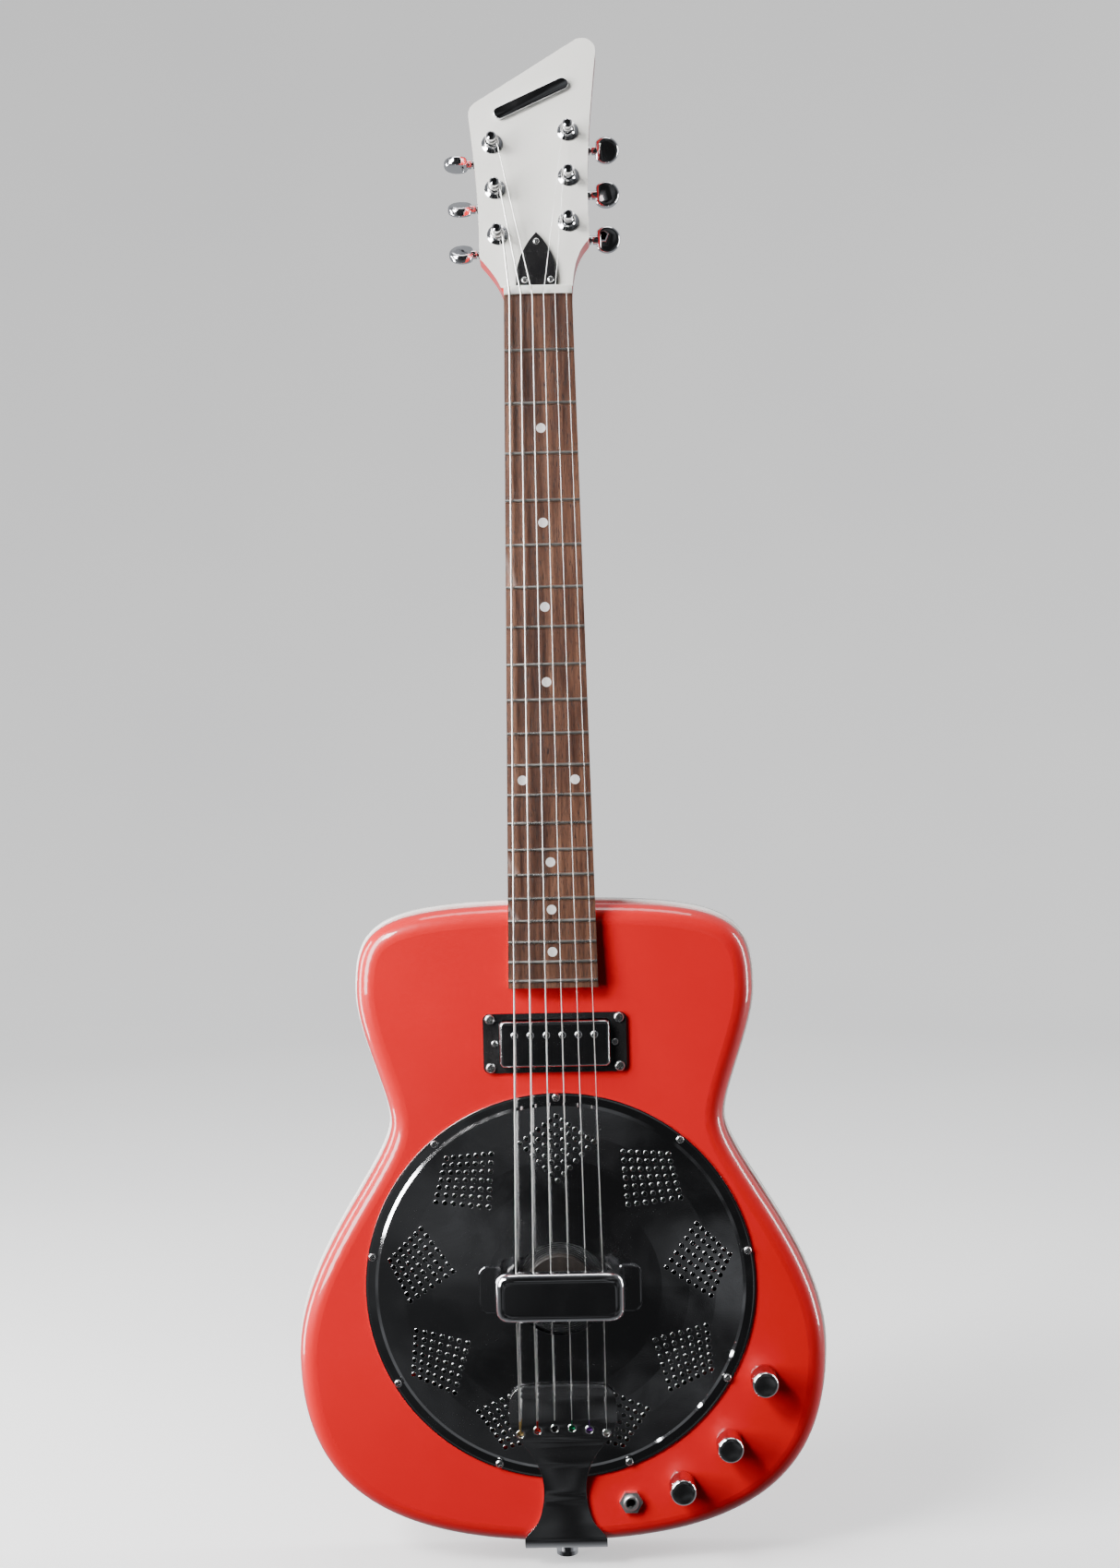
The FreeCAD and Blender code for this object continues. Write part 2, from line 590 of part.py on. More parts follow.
def build_hand_rest():
    half, wide, top = REST_LENGTH / 2, REST_WIDTH / 2, REST_TOP
    foot = cover_height(REST_LENGTH / 2)
    outer = box(-half, half, FACE_Y - top, FACE_Y - foot + 3, CONE_Z - wide, CONE_Z + wide)
    rounds = [e for e in outer.Edges if e.CenterOfMass.y < FACE_Y - foot - 2
              and not (abs(e.CenterOfMass.x) < 1 and abs(e.tangentAt(e.FirstParameter).x) < 0.5)]
    outer = outer.makeFillet(5.0, rounds)
    hollow = box(-half + REST_THICK, half - REST_THICK, FACE_Y - top + REST_THICK, FACE_Y + 5,
                 CONE_Z - wide + REST_THICK, CONE_Z + wide - REST_THICK)
    hollow_edges = [e for e in hollow.Edges if abs(e.CenterOfMass.y - (FACE_Y - top + REST_THICK)) < 0.1]
    hollow = hollow.makeFillet(3.4, hollow_edges)
    through = box(-half + 9, half - 9, FACE_Y - top + 6.5, FACE_Y + 5, CONE_Z - wide - 1, CONE_Z + wide + 1)
    ears = rounded_rect(REST_EARS, REST_EAR_HEIGHT, 9.5, 0, FACE_Y - foot - 5, CONE_Z, 8)
    ears = ears.cut(box(-half + 4, half - 4, FACE_Y - 30, FACE_Y + 9, CONE_Z - 60, CONE_Z + 60))
    dome = turned([(0, -3), (COVER_RADIUS, -3), (COVER_RADIUS, cover_height(COVER_RADIUS - COVER_RIM))] +
                  [(r, cover_height(r)) for r in COVER_RINGS] + [(0, cover_height(0))],
                  from_cone(0, FACE_Y, 0), V(0, -1, 0))
    lid = dome.copy()
    lid.translate(V(0, -REST_THICK, 0))
    ears = ears.common(lid)
    rest = union([outer.cut([hollow, through]), ears]).cut(dome)
    put("hand_rest", rest)


COVER_RINGS = [COVER_HOLE_RADIUS + (COVER_RADIUS - COVER_RIM - COVER_HOLE_RADIUS) * k / 5
               for k in range(5, -1, -1)]


# ---------------------------------------------------------------- tailpiece


def tail_hole(index):
    x = TAIL_SPREAD * (1 - 2 * index / 5)
    return V(x, FACE_Y - HOOD_LIFT, CONE_Z + HOLE_LINE - HOLE_ARC * (x / TAIL_SPREAD) ** 2)


def tail_section():
    """Side view of the tailpiece sheet, as a closed face in the YZ plane."""
    middle = TAIL_THICK / 2
    lie = middle + TAIL_LIE
    lip = cover_height(-HOOD_TOP) + middle + HOOD_CLEAR
    crest = [(HOOD_TOP + 1, lip), (HOOD_TOP - 3, lip + 1.2), (HOOD_TOP - 10, lip + 2.2),
             (HOOD_TOP - 20, HOOD_LIFT - 0.15),
             (HOLE_LINE - 1, HOOD_LIFT), (HOLE_LINE - 12, HOOD_LIFT - 1.4), (HOLE_LINE - 22, HOOD_LIFT - 3.6),
             (HOLE_LINE - 38, 2.4), (HOLE_LINE - 46, 1.15), (HOLE_LINE - 54, lie), (HOLE_LINE - 58, lie),
             (HOLE_LINE - 62, lie)]
    curve = Part.BSplineCurve()
    curve.interpolate([V(0, FACE_Y - h, CONE_Z + z) for z, h in crest])
    sides = []
    for offset in (-middle, middle):
        rim = []
        for k in range(33):
            t = curve.FirstParameter + (curve.LastParameter - curve.FirstParameter) * k / 32
            along = curve.tangent(t)[0]
            rim.append(curve.value(t).add(V(0, along.z, -along.y) * offset))
        side = Part.BSplineCurve()
        side.interpolate(rim)
        radius = BEND_RADIUS + offset
        bend_z = BEND_RADIUS + middle
        start = rim[-1]
        drop = V(0, start.y, bend_z)
        knee = V(0, start.y + radius * (1 - math.sqrt(0.5)), bend_z - radius * math.sqrt(0.5))
        turn_end = V(0, start.y + radius, bend_z - radius)
        end = V(0, TAIL_TAB, bend_z - radius)
        sides.append([rim[0], end, [side.toShape(), Part.makeLine(start, drop),
                                    Part.Arc(drop, knee, turn_end).toShape(),
                                    Part.makeLine(turn_end, end)]])
    caps = [Part.makeLine(sides[0][0], sides[1][0]), Part.makeLine(sides[0][1], sides[1][1])]
    return Part.Face(Part.Wire(Part.__sortEdges__(sides[0][2] + sides[1][2] + caps)))


def tail_plan():
    half, waist, foot = TAIL_HOOD_WIDTH / 2, TAIL_WAIST_WIDTH / 2, TAIL_FOOT_WIDTH / 2
    top = CONE_Z + HOOD_TOP
    y = FACE_Y - 40
    side = [(half, top - 11), (half, top - 24), (half - 2.6, top - 32), (half - 7.2, top - 37.5),
            (half - 14.8, top - 48.5), (waist + 1.1, top - 60), (waist, top - 72.5), (waist + 1.4, top - 83),
            (waist + 5.4, top - 93.0), (foot - 3.4, top - 97.5), (foot, top - 102.5)]
    curve = Part.BSplineCurve()
    curve.interpolate([V(x, y, z) for x, z in side])
    right = curve.toShape()
    mirror = FreeCAD.Matrix(-1, 0, 0, 0, 0, 1, 0, 0, 0, 0, 1, 0, 0, 0, 0, 1)
    left = right.transformGeometry(mirror)
    corner = 10.0
    a, b = V(half, y, top - 11), V(half - corner, y, top - 1.2)
    knee = V(half - corner * 0.3, y, top - 1.2 - corner * 0.32)
    arc_right = Part.Arc(a, knee, b).toShape()
    arc_left = Part.Arc(V(-a.x, y, a.z), V(-knee.x, y, knee.z), V(-b.x, y, b.z)).toShape()
    brow = Part.Arc(b, V(0, y, top), V(-b.x, y, b.z)).toShape()
    end_z = -3.0
    last = side[-1]
    down = [Part.makeLine(V(s * last[0], y, last[1]), V(s * last[0], y, end_z)) for s in (1, -1)]
    foot_line = Part.makeLine(V(last[0], y, end_z), V(-last[0], y, end_z))
    wire = Part.Wire(Part.__sortEdges__([right, left, arc_right, arc_left, brow, foot_line] + down))
    return Part.Face(wire).extrude(V(0, BODY_DEPTH + 60, 0))


def build_tailpiece():
    sheet = tail_section().extrude(V(80, 0, 0))
    sheet.translate(V(-40, 0, 0))
    sheet = sheet.common(tail_plan())
    holes = [cyl(TAIL_HOLE_RADIUS, tail_hole(i).add(V(0, -8, 0)), tail_hole(i).add(V(0, 10, 0)))
             for i in range(6)]
    holes.append(cyl(STRAP_SCREW, V(0, 0, -2), V(0, 0, 5)))
    put("tailpiece", sheet.cut(holes))


# ---------------------------------------------------------------- pickup
def build_pickup():
    z = CONE_Z + PICKUP_Z
    ring = rounded_rect(RING_LENGTH, RING_WIDTH, RING_CORNER, 0, FACE_Y - RING_THICK, z, RING_THICK)
    opening = rounded_rect(PICKUP_LENGTH + 2 * 0.5, PICKUP_WIDTH + 2 * 0.5, 3.4, 0, FACE_Y - 9, z, 20)
    corner_holes = [cyl(1.3, from_cone(x, FACE_Y - 5, pz), from_cone(x, FACE_Y + 1, pz))
                    for x, pz in ring_screw_points()]
    lift_x = PICKUP_LENGTH / 2 + 3.3
    lift_holes = [cyl(1.2, V(s * lift_x, FACE_Y - 5, z), V(s * lift_x, FACE_Y + 1, z)) for s in (-1, 1)]
    put("pickup_ring", ring.cut([opening] + corner_holes + lift_holes))
    top_y = FACE_Y - PICKUP_HEIGHT
    shell = rounded_rect(PICKUP_LENGTH, PICKUP_WIDTH, 3.0, 0, top_y, z, PICKUP_HEIGHT + 10)
    crest = [e for e in shell.Edges if abs(e.CenterOfMass.y - top_y) < 0.01]
    shell = shell.makeFillet(2.2, crest)
    inside = rounded_rect(PICKUP_LENGTH - 2 * PICKUP_SHELL, PICKUP_WIDTH - 2 * PICKUP_SHELL, 2.4, 0,
                          top_y + PICKUP_SHELL, z, PICKUP_HEIGHT + 12)
    crest = [e for e in inside.Edges if abs(e.CenterOfMass.y - top_y - PICKUP_SHELL) < 0.01]
    inside = inside.makeFillet(1.6, crest)
    poles = [(POLE_PITCH * (i - 2.5), PICKUP_Z + 5.7) for i in range(6)]
    drills = [cyl(POLE_RADIUS, from_cone(x, top_y - 2, pz), from_cone(x, top_y + 14, pz)) for x, pz in poles]
    put("pickup_cover", shell.cut([inside] + drills))
    coil_y = top_y + PICKUP_SHELL
    coils = rounded_rect(PICKUP_LENGTH - 4, PICKUP_WIDTH - 4, 2, 0, coil_y, z, PICKUP_HEIGHT + 8)
    put("pickup_coils", coils.cut(drills))
    heads = [turned([(0, 0), (POLE_RADIUS - 0.5, 0), (POLE_RADIUS, 0.5), (POLE_RADIUS, 14), (0, 14)],
                    from_cone(x, top_y - 0.6, pz), V(0, 1, 0)) for x, pz in poles]
    put("pickup_pole_screws", Part.makeCompound(heads))
    seat = FACE_Y - RING_THICK
    screws = [screw(3.2, 1.5, 1.3, from_cone(x, seat, pz), V(0, 1, 0), 13) for x, pz in ring_screw_points()]
    screws += [screw(2.2, 1.1, 1.2, V(s * lift_x, seat, z), V(0, 1, 0), RING_THICK) for s in (-1, 1)]
    put("pickup_screws", Part.makeCompound(screws))


# ---------------------------------------------------------------- headstock hardware
def build_headstock():
    face = head_blank(0, FACE_LAYER)
    face = face.cut(box(-40, 40, -3, 4, -1, NUT_THICK + 0.6))
    neck = build_neck()
    bores = [cyl(SLEEVE_RADIUS, V(x, -1, z), V(x, HEAD_THICK + 1, z)) for x, z, side, turn in TUNERS]
    face = face.cut(bores + [rod_slot()])
    put("headstock_face", placed(face, HEAD))
    neck = placed(neck, NECK)
    neck = neck.cut([placed(b, HEAD) for b in bores] + [placed(rod_slot(), HEAD)])
    pilots = [ear_seat(i) for i in range(6)]
    neck = neck.cut([placed(cyl(CASE_SCREW_RADIUS, p.add(V(0, -CASE_SCREW_LENGTH, 0)), p), HEAD)
                     for p in pilots])
    plate_drills = [cyl(SCREW_RADIUS, V(x, BACK_Y - PLATE_SCREW_LENGTH, z), V(x, BACK_Y, z))
                    for x, z in plate_screw_points()]
    put("neck", neck.cut(plate_drills))


def rod_slot():
    return box(-3.2, 3.2, -1, 8.5, NUT_THICK + 2.5, NUT_THICK + 26)


def build_rod_cover():
    base, tip, half = NUT_THICK + 0.9, 41.5, 13.2
    x0 = -0.6
    y = -ROD_COVER_THICK
    left = Part.Arc(V(x0 - half, y, base), V(x0 - half + 3.4, y, base + 20), V(x0, y, tip)).toShape()
    right = Part.Arc(V(x0 + half, y, base), V(x0 + half - 3.4, y, base + 20), V(x0, y, tip)).toShape()
    foot = Part.makeLine(V(x0 - half, y, base), V(x0 + half, y, base))
    plate = Part.Face(Part.Wire(Part.__sortEdges__([left, right, foot]))).extrude(V(0, ROD_COVER_THICK, 0))
    spots = [(x0, tip - 6.2), (x0 - half + 5.5, base + 3.4), (x0 + half - 4.5, base + 3.4)]
    drills = [cyl(1.0, V(x, y - 1, z), V(x, 1, z)) for x, z in spots]
    put("truss_rod_cover", placed(plate.cut(drills), HEAD))
    heads = [placed(screw(2.1, 1.0, 1.0, V(x, y, z), V(0, 1, 0), ROD_COVER_THICK), HEAD) for x, z in spots]
    rod = cyl(ROD_RADIUS - 0.05, V(0, ROD_DEPTH, -ROD_LENGTH + 1), V(0, ROD_DEPTH, NUT_THICK + 8))
    put("truss_rod", placed(rod, NECK))
    return heads


def build_badge():
    """Plain slanted bar with rounded ends, in place of any lettering."""
    length, height = 52.0, 8.0
    bar = rounded_rect(length, height, 3.9, 0, 0, 0, BADGE_THICK)
    bar = placed(bar, FreeCAD.Placement(V(-2.4, -BADGE_THICK, 131.5), FreeCAD.Rotation(V(0, 1, 0), -25)))
    put("headstock_badge", placed(bar, HEAD))


def build_nut():
    blank = board_plan(-ACTION_NUT - 1.0, BOARD_THICK, -NUT_THICK, 0).common(crown(ACTION_NUT + 0.4))
    shoulder = [e for e in blank.Edges if e.CenterOfMass.z > NUT_THICK - 0.1 and e.CenterOfMass.y < 0.5
                and abs(e.CenterOfMass.x) < 5]
    blank = blank.makeFillet(1.4, shoulder)
    blank = placed(blank, NECK)
    grooves = []
    for i in range(6):
        start = string_nut_point(i)
        ahead = start.sub(string_saddle_point(i))
        ahead = ahead.normalize()
        grooves.append(cyl(STRING_DIAMETERS[i] / 2 + 0.02, start.sub(ahead * 2), start.add(ahead * 10)))
        after = post_touch(i).sub(start)
        grooves.append(cyl(STRING_DIAMETERS[i] / 2 + 0.02, start, start.add(after.normalize() * 12)))
    put("nut", blank.cut(grooves))


def worm_solid():
    """Worm along +X, centred at the origin."""
    turns_start = -WORM_LENGTH / 2
    core = Part.makeCylinder(WORM_ROOT, WORM_LENGTH, V(turns_start, 0, 0), V(1, 0, 0))
    helix = Part.makeHelix(WORM_PITCH, WORM_LENGTH - WORM_PITCH, WORM_ROOT - 0.2)
    half = TOOTH_THICK / 2
    inner, outer = WORM_ROOT - 0.2, WORM_RADIUS
    profile = Part.makePolygon([V(inner, 0, -half * 1.6), V(outer, 0, -half * 0.7), V(outer, 0, half * 0.7),
                                V(inner, 0, half * 1.6), V(inner, 0, -half * 1.6)])
    thread = Part.Wire(helix).makePipeShell([profile], True, True)
    thread.rotate(V(0, 0, 0), V(0, 1, 0), 90)
    thread.translate(V(turns_start + WORM_PITCH / 2, 0, 0))
    return core.fuse(thread)


def gear_solid():
    """Thin-toothed gear about Y, centred at the origin, a tooth facing -Z."""
    root, tip = GEAR_RADIUS - 0.6, GEAR_RADIUS + 0.42
    hub = Part.makeCylinder(root, GEAR_WIDTH, V(0, -GEAR_WIDTH / 2, 0), V(0, 1, 0))
    teeth = []
    for k in range(GEAR_TEETH):
        tooth = box(-TOOTH_THICK / 2, TOOTH_THICK / 2, -GEAR_WIDTH / 2, GEAR_WIDTH / 2, -tip, -root + 0.3)
        tooth.rotate(V(0, 0, 0), V(0, 1, 0), 360.0 / GEAR_TEETH * k)
        teeth.append(tooth)
    return hub.fuse(teeth)


def post_axis(number):
    x, z, side, turn = TUNERS[number]
    return HEAD.multVec(V(x, 0, z)), HEAD.Rotation.multVec(V(0, 1, 0))


def post_touch(number):
    """Point where the string meets its coil round the post."""
    x, z, side, turn = TUNERS[number]
    reach = COIL_RADIUS + COIL_CLEAR + STRING_DIAMETERS[number] / 2
    return HEAD.multVec(V(x - side * reach, -COIL_LIFT, z))


def post_solid():
    """String post about Y in its own frame, y = 0 at the headstock face."""
    neck_y = -BUSHING_HEIGHT - 1.0
    profile = [(0, -POST_HEIGHT), (1.9, -POST_HEIGHT), (POST_RADIUS, -POST_HEIGHT + 1.0),
               (POST_RADIUS, -POST_HEIGHT + 3.4), (COIL_RADIUS, -POST_HEIGHT + 4.2),
               (COIL_RADIUS, neck_y - 0.6), (POST_RADIUS, neck_y), (POST_RADIUS, GEAR_DEPTH - 1.6),
               (1.6, GEAR_DEPTH - 1.6), (1.6, GEAR_DEPTH + 2.2),
               (0, GEAR_DEPTH + 2.2)]
    return turned(profile, V(0, 0, 0), V(0, 1, 0))


def button_solid():
    """Tuning button, long way on +X, thin along Y, centred on its own disc."""
    disc = Part.makeCylinder(BUTTON_RADIUS, BUTTON_THICK, V(0, -BUTTON_THICK / 2, 0), V(0, 1, 0))
    disc = disc.cut(box(-20, -BUTTON_FLAT, -10, 10, -20, 20))
    disc = disc.makeFillet(2.4, disc.Edges)
    stem = Part.makeCylinder(2.9, 3.6, V(-BUTTON_FLAT - 2.6, 0, 0), V(1, 0, 0))
    return disc.fuse(stem)


def build_tuners():
    housings, bushings, screws = [], [], []
    for number, (x, z, side, turn) in enumerate(TUNERS):
        centre = V(x, GEAR_DEPTH, z - WORM_OFFSET)
        edge = head_edge(z - WORM_OFFSET, side)
        reach = side * edge - side * x
        collar_end = reach + 1.0
        flip = FreeCAD.Rotation(V(0, 1, 0), 0 if side > 0 else 180)
        turn_rest = FreeCAD.Rotation(V(1, 0, 0), turn)
        here = HEAD.multiply(FreeCAD.Placement(centre, flip))
        worm = worm_solid()
        if side < 0:
            worm.rotate(V(0, 0, 0), V(1, 0, 0), 180)
        shaft = cyl(KEY_SHAFT_RADIUS, V(WORM_LENGTH / 2, 0, 0), V(collar_end + 3.0, 0, 0))
        tip = cyl(WORM_ROOT - 0.1, V(-WORM_LENGTH / 2 - 1.2, 0, 0), V(-WORM_LENGTH / 2, 0, 0))
        put("tuner_worm_%d" % (number + 1), placed(union([worm, shaft, tip]), here))
        button = button_solid()
        button.translate(V(BUTTON_FLAT + 2.6, 0, 0))
        button = placed(button, FreeCAD.Placement(V(collar_end + 1.0, 0, 0), turn_rest))
        bore = cyl(KEY_SHAFT_RADIUS, V(0, 0, 0), V(collar_end + 3.0, 0, 0))
        put("tuner_button_%d" % (number + 1), placed(button.cut(bore), here))
        post = post_solid()
        gear = gear_solid().cut(cyl(1.6, V(0, -5, 0), V(0, 5, 0)))
        gear.translate(V(0, GEAR_DEPTH, 0))
        post_here = HEAD.multiply(FreeCAD.Placement(V(x, 0, z), FreeCAD.Rotation()))
        put("string_post_%d" % (number + 1), placed(Part.makeCompound([post, gear]), post_here))
        case = housing(collar_end)
        if side < 0:
            case = case.mirror(V(0, 0, 0), V(1, 0, 0))
        housings.append(placed(case, HEAD.multiply(FreeCAD.Placement(centre, FreeCAD.Rotation()))))
        bushings.append(placed(bushing(), post_here))
        screws.append(placed(screw(1.9, 0.9, CASE_SCREW_RADIUS, ear_seat(number), V(0, -1, 0),
                                   CASE_SCREW_LENGTH), HEAD))
    put("tuner_housings", Part.makeCompound(housings))
    put("tuner_bushings", Part.makeCompound(bushings))
    return screws


def ear_seat(number):
    """Where the tuner case's fixing screw sits, in the headstock frame."""
    x, z, side, turn = TUNERS[number]
    return V(x - side * EAR_X, HEAD_THICK + EAR_THICK, z + EAR_OFFSET)


def head_edge(z, side):
    """Absolute X of the headstock's side edge at height z."""
    if side > 0:
        return 33.3 if z < 95 else 33.3 + (z - 95) * 0.055
    return -37.2 if z < 60 else -37.2 - (z - 60) * 0.075


def housing(collar_end):
    """Tuner case in the worm's frame: +X outwards, the post's axis at z = WORM_OFFSET."""
    back = HEAD_THICK - GEAR_DEPTH
    case = box(-7.6, 6.6, back, back + HOUSING_DEPTH, -4.6, WORM_OFFSET + 5.2)
    soft = [e for e in case.Edges if e.CenterOfMass.y > back + 0.1]
    case = case.makeFillet(1.8, soft)
    ear_z = WORM_OFFSET + EAR_OFFSET
    ear = cyl(EAR_RADIUS, V(-EAR_X, back, ear_z), V(-EAR_X, back + EAR_THICK, ear_z))
    collar = cyl(2.9, V(5, 0, 0), V(collar_end, 0, 0))
    outer = union([case, ear, collar])
    worm_room = cyl(WORM_RADIUS + 0.35, V(-WORM_LENGTH / 2 - 0.4, 0, 0), V(WORM_LENGTH / 2 + 0.4, 0, 0))
    gear_room = Part.makeCylinder(GEAR_RADIUS + 0.42 + 0.35, GEAR_WIDTH + 1.0,
                                  V(0, -GEAR_WIDTH / 2 - 0.5, WORM_OFFSET), V(0, 1, 0))
    post_room = cyl(POST_RADIUS + RUN_CLEAR, V(0, back - 1, WORM_OFFSET),
                    V(0, -GEAR_WIDTH / 2 - 0.2, WORM_OFFSET))
    pivot = cyl(1.6 + RUN_CLEAR, V(0, 0, WORM_OFFSET), V(0, 2.4, WORM_OFFSET))
    shaft = cyl(KEY_SHAFT_RADIUS + RUN_CLEAR, V(0, 0, 0), V(collar_end + 1, 0, 0))
    tip = cyl(WORM_ROOT - 0.1 + RUN_CLEAR, V(-WORM_LENGTH / 2 - 1.6, 0, 0), V(0, 0, 0))
    screw_hole = cyl(CASE_SCREW_RADIUS, V(-EAR_X, back - 1, ear_z), V(-EAR_X, back + EAR_THICK + 1, ear_z))
    return outer.cut([worm_room, gear_room, post_room, pivot, shaft, tip, screw_hole])


def bushing():
    """Washer and sleeve round the post, y = 0 at the headstock face."""
    inner = POST_RADIUS + RUN_CLEAR
    profile = [(inner, -BUSHING_HEIGHT), (inner + 0.9, -BUSHING_HEIGHT), (inner + 1.5, -BUSHING_HEIGHT + 0.9),
               (BUSHING_RADIUS - 0.8, -1.2), (BUSHING_RADIUS, -0.6), (BUSHING_RADIUS, 0), (SLEEVE_RADIUS, 0),
               (SLEEVE_RADIUS, 9.5), (inner, 9.5)]
    return turned(profile, V(0, 0, 0), V(0, 1, 0))


# ---------------------------------------------------------------- controls
def build_controls():
    pots, nuts = [], []
    for name, (x, z) in KNOBS.items():
        face = from_cone(x, FACE_Y, z)
        under = FACE_Y + FACE_THICK
        can = cyl(POT_RADIUS, V(x, under, face.z), V(x, under + POT_HEIGHT, face.z))
        bush = cyl(BUSH_RADIUS, V(x, FACE_Y - 3.0, face.z), V(x, under, face.z))
        room = cyl(POT_SHAFT_RADIUS + RUN_CLEAR, V(x, FACE_Y - 5, face.z),
                   V(x, under + POT_HEIGHT - 2, face.z))
        pots.append(union([can, bush]).cut(room))
        shaft = cyl(POT_SHAFT_RADIUS, V(x, FACE_Y - 14, face.z), V(x, under + POT_HEIGHT - 2.5, face.z))
        put("pot_shaft_" + name, shaft)
        flats = hexagon(V(x, FACE_Y - 2.2, face.z), 10.0, 2.2, BUSH_RADIUS)
        nuts.append(flats)
        base = -KNOB_LIFT
        top = base - KNOB_HEIGHT
        knob = turned([(0, top), (KNOB_RADIUS - 2.2, top), (KNOB_RADIUS - 0.6, top + 0.9),
                       (KNOB_RADIUS, top + 1.8),
                       (KNOB_RADIUS, base - 0.5), (KNOB_RADIUS - 0.5, base), (0, base)], face, V(0, 1, 0))
        recess = cyl(KNOB_RADIUS - 1.8, V(x, FACE_Y + base - KNOB_FLARE, face.z), V(x, FACE_Y + 1, face.z))
        put("knob_" + name, knob.cut([recess, shaft]))
    x, z = JACK
    sleeve = turned([(JACK_BORE, -4.6), (JACK_SLEEVE - 0.5, -4.6), (JACK_SLEEVE, -4.1),
                     (JACK_SLEEVE, FACE_THICK),
                     (8.5, FACE_THICK), (8.5, FACE_THICK + 15), (JACK_BORE, FACE_THICK + 15)],
                    from_cone(x, FACE_Y, z), V(0, 1, 0))
    put("output_jack", sleeve)
    nuts.append(hexagon(from_cone(x, FACE_Y - 2.8, z), JACK_NUT_FLATS, 2.8, JACK_SLEEVE))
    put("potentiometers", Part.makeCompound(pots))
    put("panel_nuts", Part.makeCompound(nuts))


def hexagon(base, flats, thick, bore):
    radius = flats / math.sqrt(3)
    ring = [base.add(V(radius * math.cos(math.radians(60 * k)), 0, radius * math.sin(math.radians(60 * k))))
            for k in range(6)]
    solid = polygon(ring).extrude(V(0, thick, 0))
    return solid.cut(cyl(bore, base.add(V(0, -1, 0)), base.add(V(0, thick + 1, 0))))


# ---------------------------------------------------------------- back hardware
def build_back():
    plate = rounded_rect(NECK_PLATE, NECK_PLATE, 5, 0, BACK_Y, NECK_PLATE_Z, PLATE_THICK)
    drills = [cyl(SCREW_RADIUS, V(x, BACK_Y - 1, z), V(x, BACK_Y + 3, z)) for x, z in plate_screw_points()]
    put("neck_plate", plate.cut(drills))
    screws = [screw(4.2, 2.0, SCREW_RADIUS, V(x, BACK_Y + PLATE_THICK, z), V(0, -1, 0), PLATE_SCREW_LENGTH)
              for x, z in plate_screw_points()]
    put("neck_plate_screws", Part.makeCompound(screws))
    shoulder = STRAP_HEIGHT - STRAP_HEAD_THICK
    button = [(0, 0), (6.2, 0), (6.2, 1.2), (STRAP_NECK_RADIUS, 3.4), (STRAP_NECK_RADIUS, shoulder),
              (STRAP_HEAD_RADIUS, shoulder), (STRAP_HEAD_RADIUS, STRAP_HEIGHT), (0, STRAP_HEIGHT)]
    drop = cyl(STRAP_SCREW, V(0, 0, 1), V(0, 0, -20))
    lower = turned(button, V(0, 0, 0), V(0, 0, -1)).cut(drop)
    upper_seat = V(0, BACK_Y, STRAP_BACK_Z)
    upper = turned(button, upper_seat, V(0, 1, 0)).cut(
        cyl(STRAP_SCREW, upper_seat.add(V(0, -1, 0)), upper_seat.add(V(0, 20, 0))))
    put("strap_buttons", Part.makeCompound([lower, upper]))
    ends = [screw(3.2, 1.2, STRAP_SCREW, V(0, 0, -STRAP_HEIGHT), V(0, 0, 1), 40),
            screw(3.2, 1.2, STRAP_SCREW, V(0, BACK_Y + STRAP_HEIGHT, STRAP_BACK_Z), V(0, -1, 0), 29)]
    put("strap_screws", Part.makeCompound(ends))


# ---------------------------------------------------------------- strings
def bent_string(start, corner, end, radius):
    """String from start round a tight corner to end."""
    bend = radius + LIP_BEND
    back = start.sub(corner).normalize()
    ahead = end.sub(corner).normalize()
    half = back.getAngle(ahead) / 2
    centre = corner.add(back.add(ahead).normalize() * (bend / math.sin(half)))
    enter = corner.add(back * (bend / math.tan(half)))
    leave = corner.add(ahead * (bend / math.tan(half)))
    knee = centre.add(corner.sub(centre).normalize() * bend)
    path = Part.Wire([Part.makeLine(start, enter), Part.Arc(enter, knee, leave).toShape(),
                      Part.makeLine(leave, end)])
    ring = Part.Wire(Part.makeCircle(radius, start, enter.sub(start)))
    return path.makePipeShell([ring], True, False)


def build_strings():
    strings = []
    for i in range(6):
        radius = STRING_DIAMETERS[i] / 2
        x, z, side, turn = TUNERS[i]
        saddle, nut_point, touch = string_saddle_point(i), string_nut_point(i), post_touch(i)
        anchor = tail_hole(i).add(V(0, TAIL_THICK / 2 + BALL_RADIUS + STRING_GAP, -STRING_GAP))
        clear = radius + STRING_GAP
        over_lip = tail_hole(i).add(V(0, -TAIL_THICK / 2 - clear, TAIL_HOLE_RADIUS - clear))
        pieces = [bent_string(anchor, over_lip, saddle, radius)]
        pieces += [cyl(radius, saddle, nut_point), cyl(radius, nut_point, touch)]
        pieces += [Part.makeSphere(radius, p) for p in (saddle, nut_point, touch)]
        reach = COIL_RADIUS + COIL_CLEAR + radius
        for k in range(STRING_TURNS):
            centre = HEAD.multVec(V(x, -COIL_LIFT + 2 * radius * COIL_PACKING * k, z))
            axis = HEAD.Rotation.multVec(V(0, 1, 0))
            pieces.append(Part.makeTorus(reach, radius, centre, axis))
        ball = cyl(BALL_RADIUS, anchor.add(V(-BALL_RADIUS, 0, 0)), anchor.add(V(BALL_RADIUS, 0, 0)))
        pieces.append(ball)
        strings.append(union(pieces))
    put("strings", Part.makeCompound(strings))


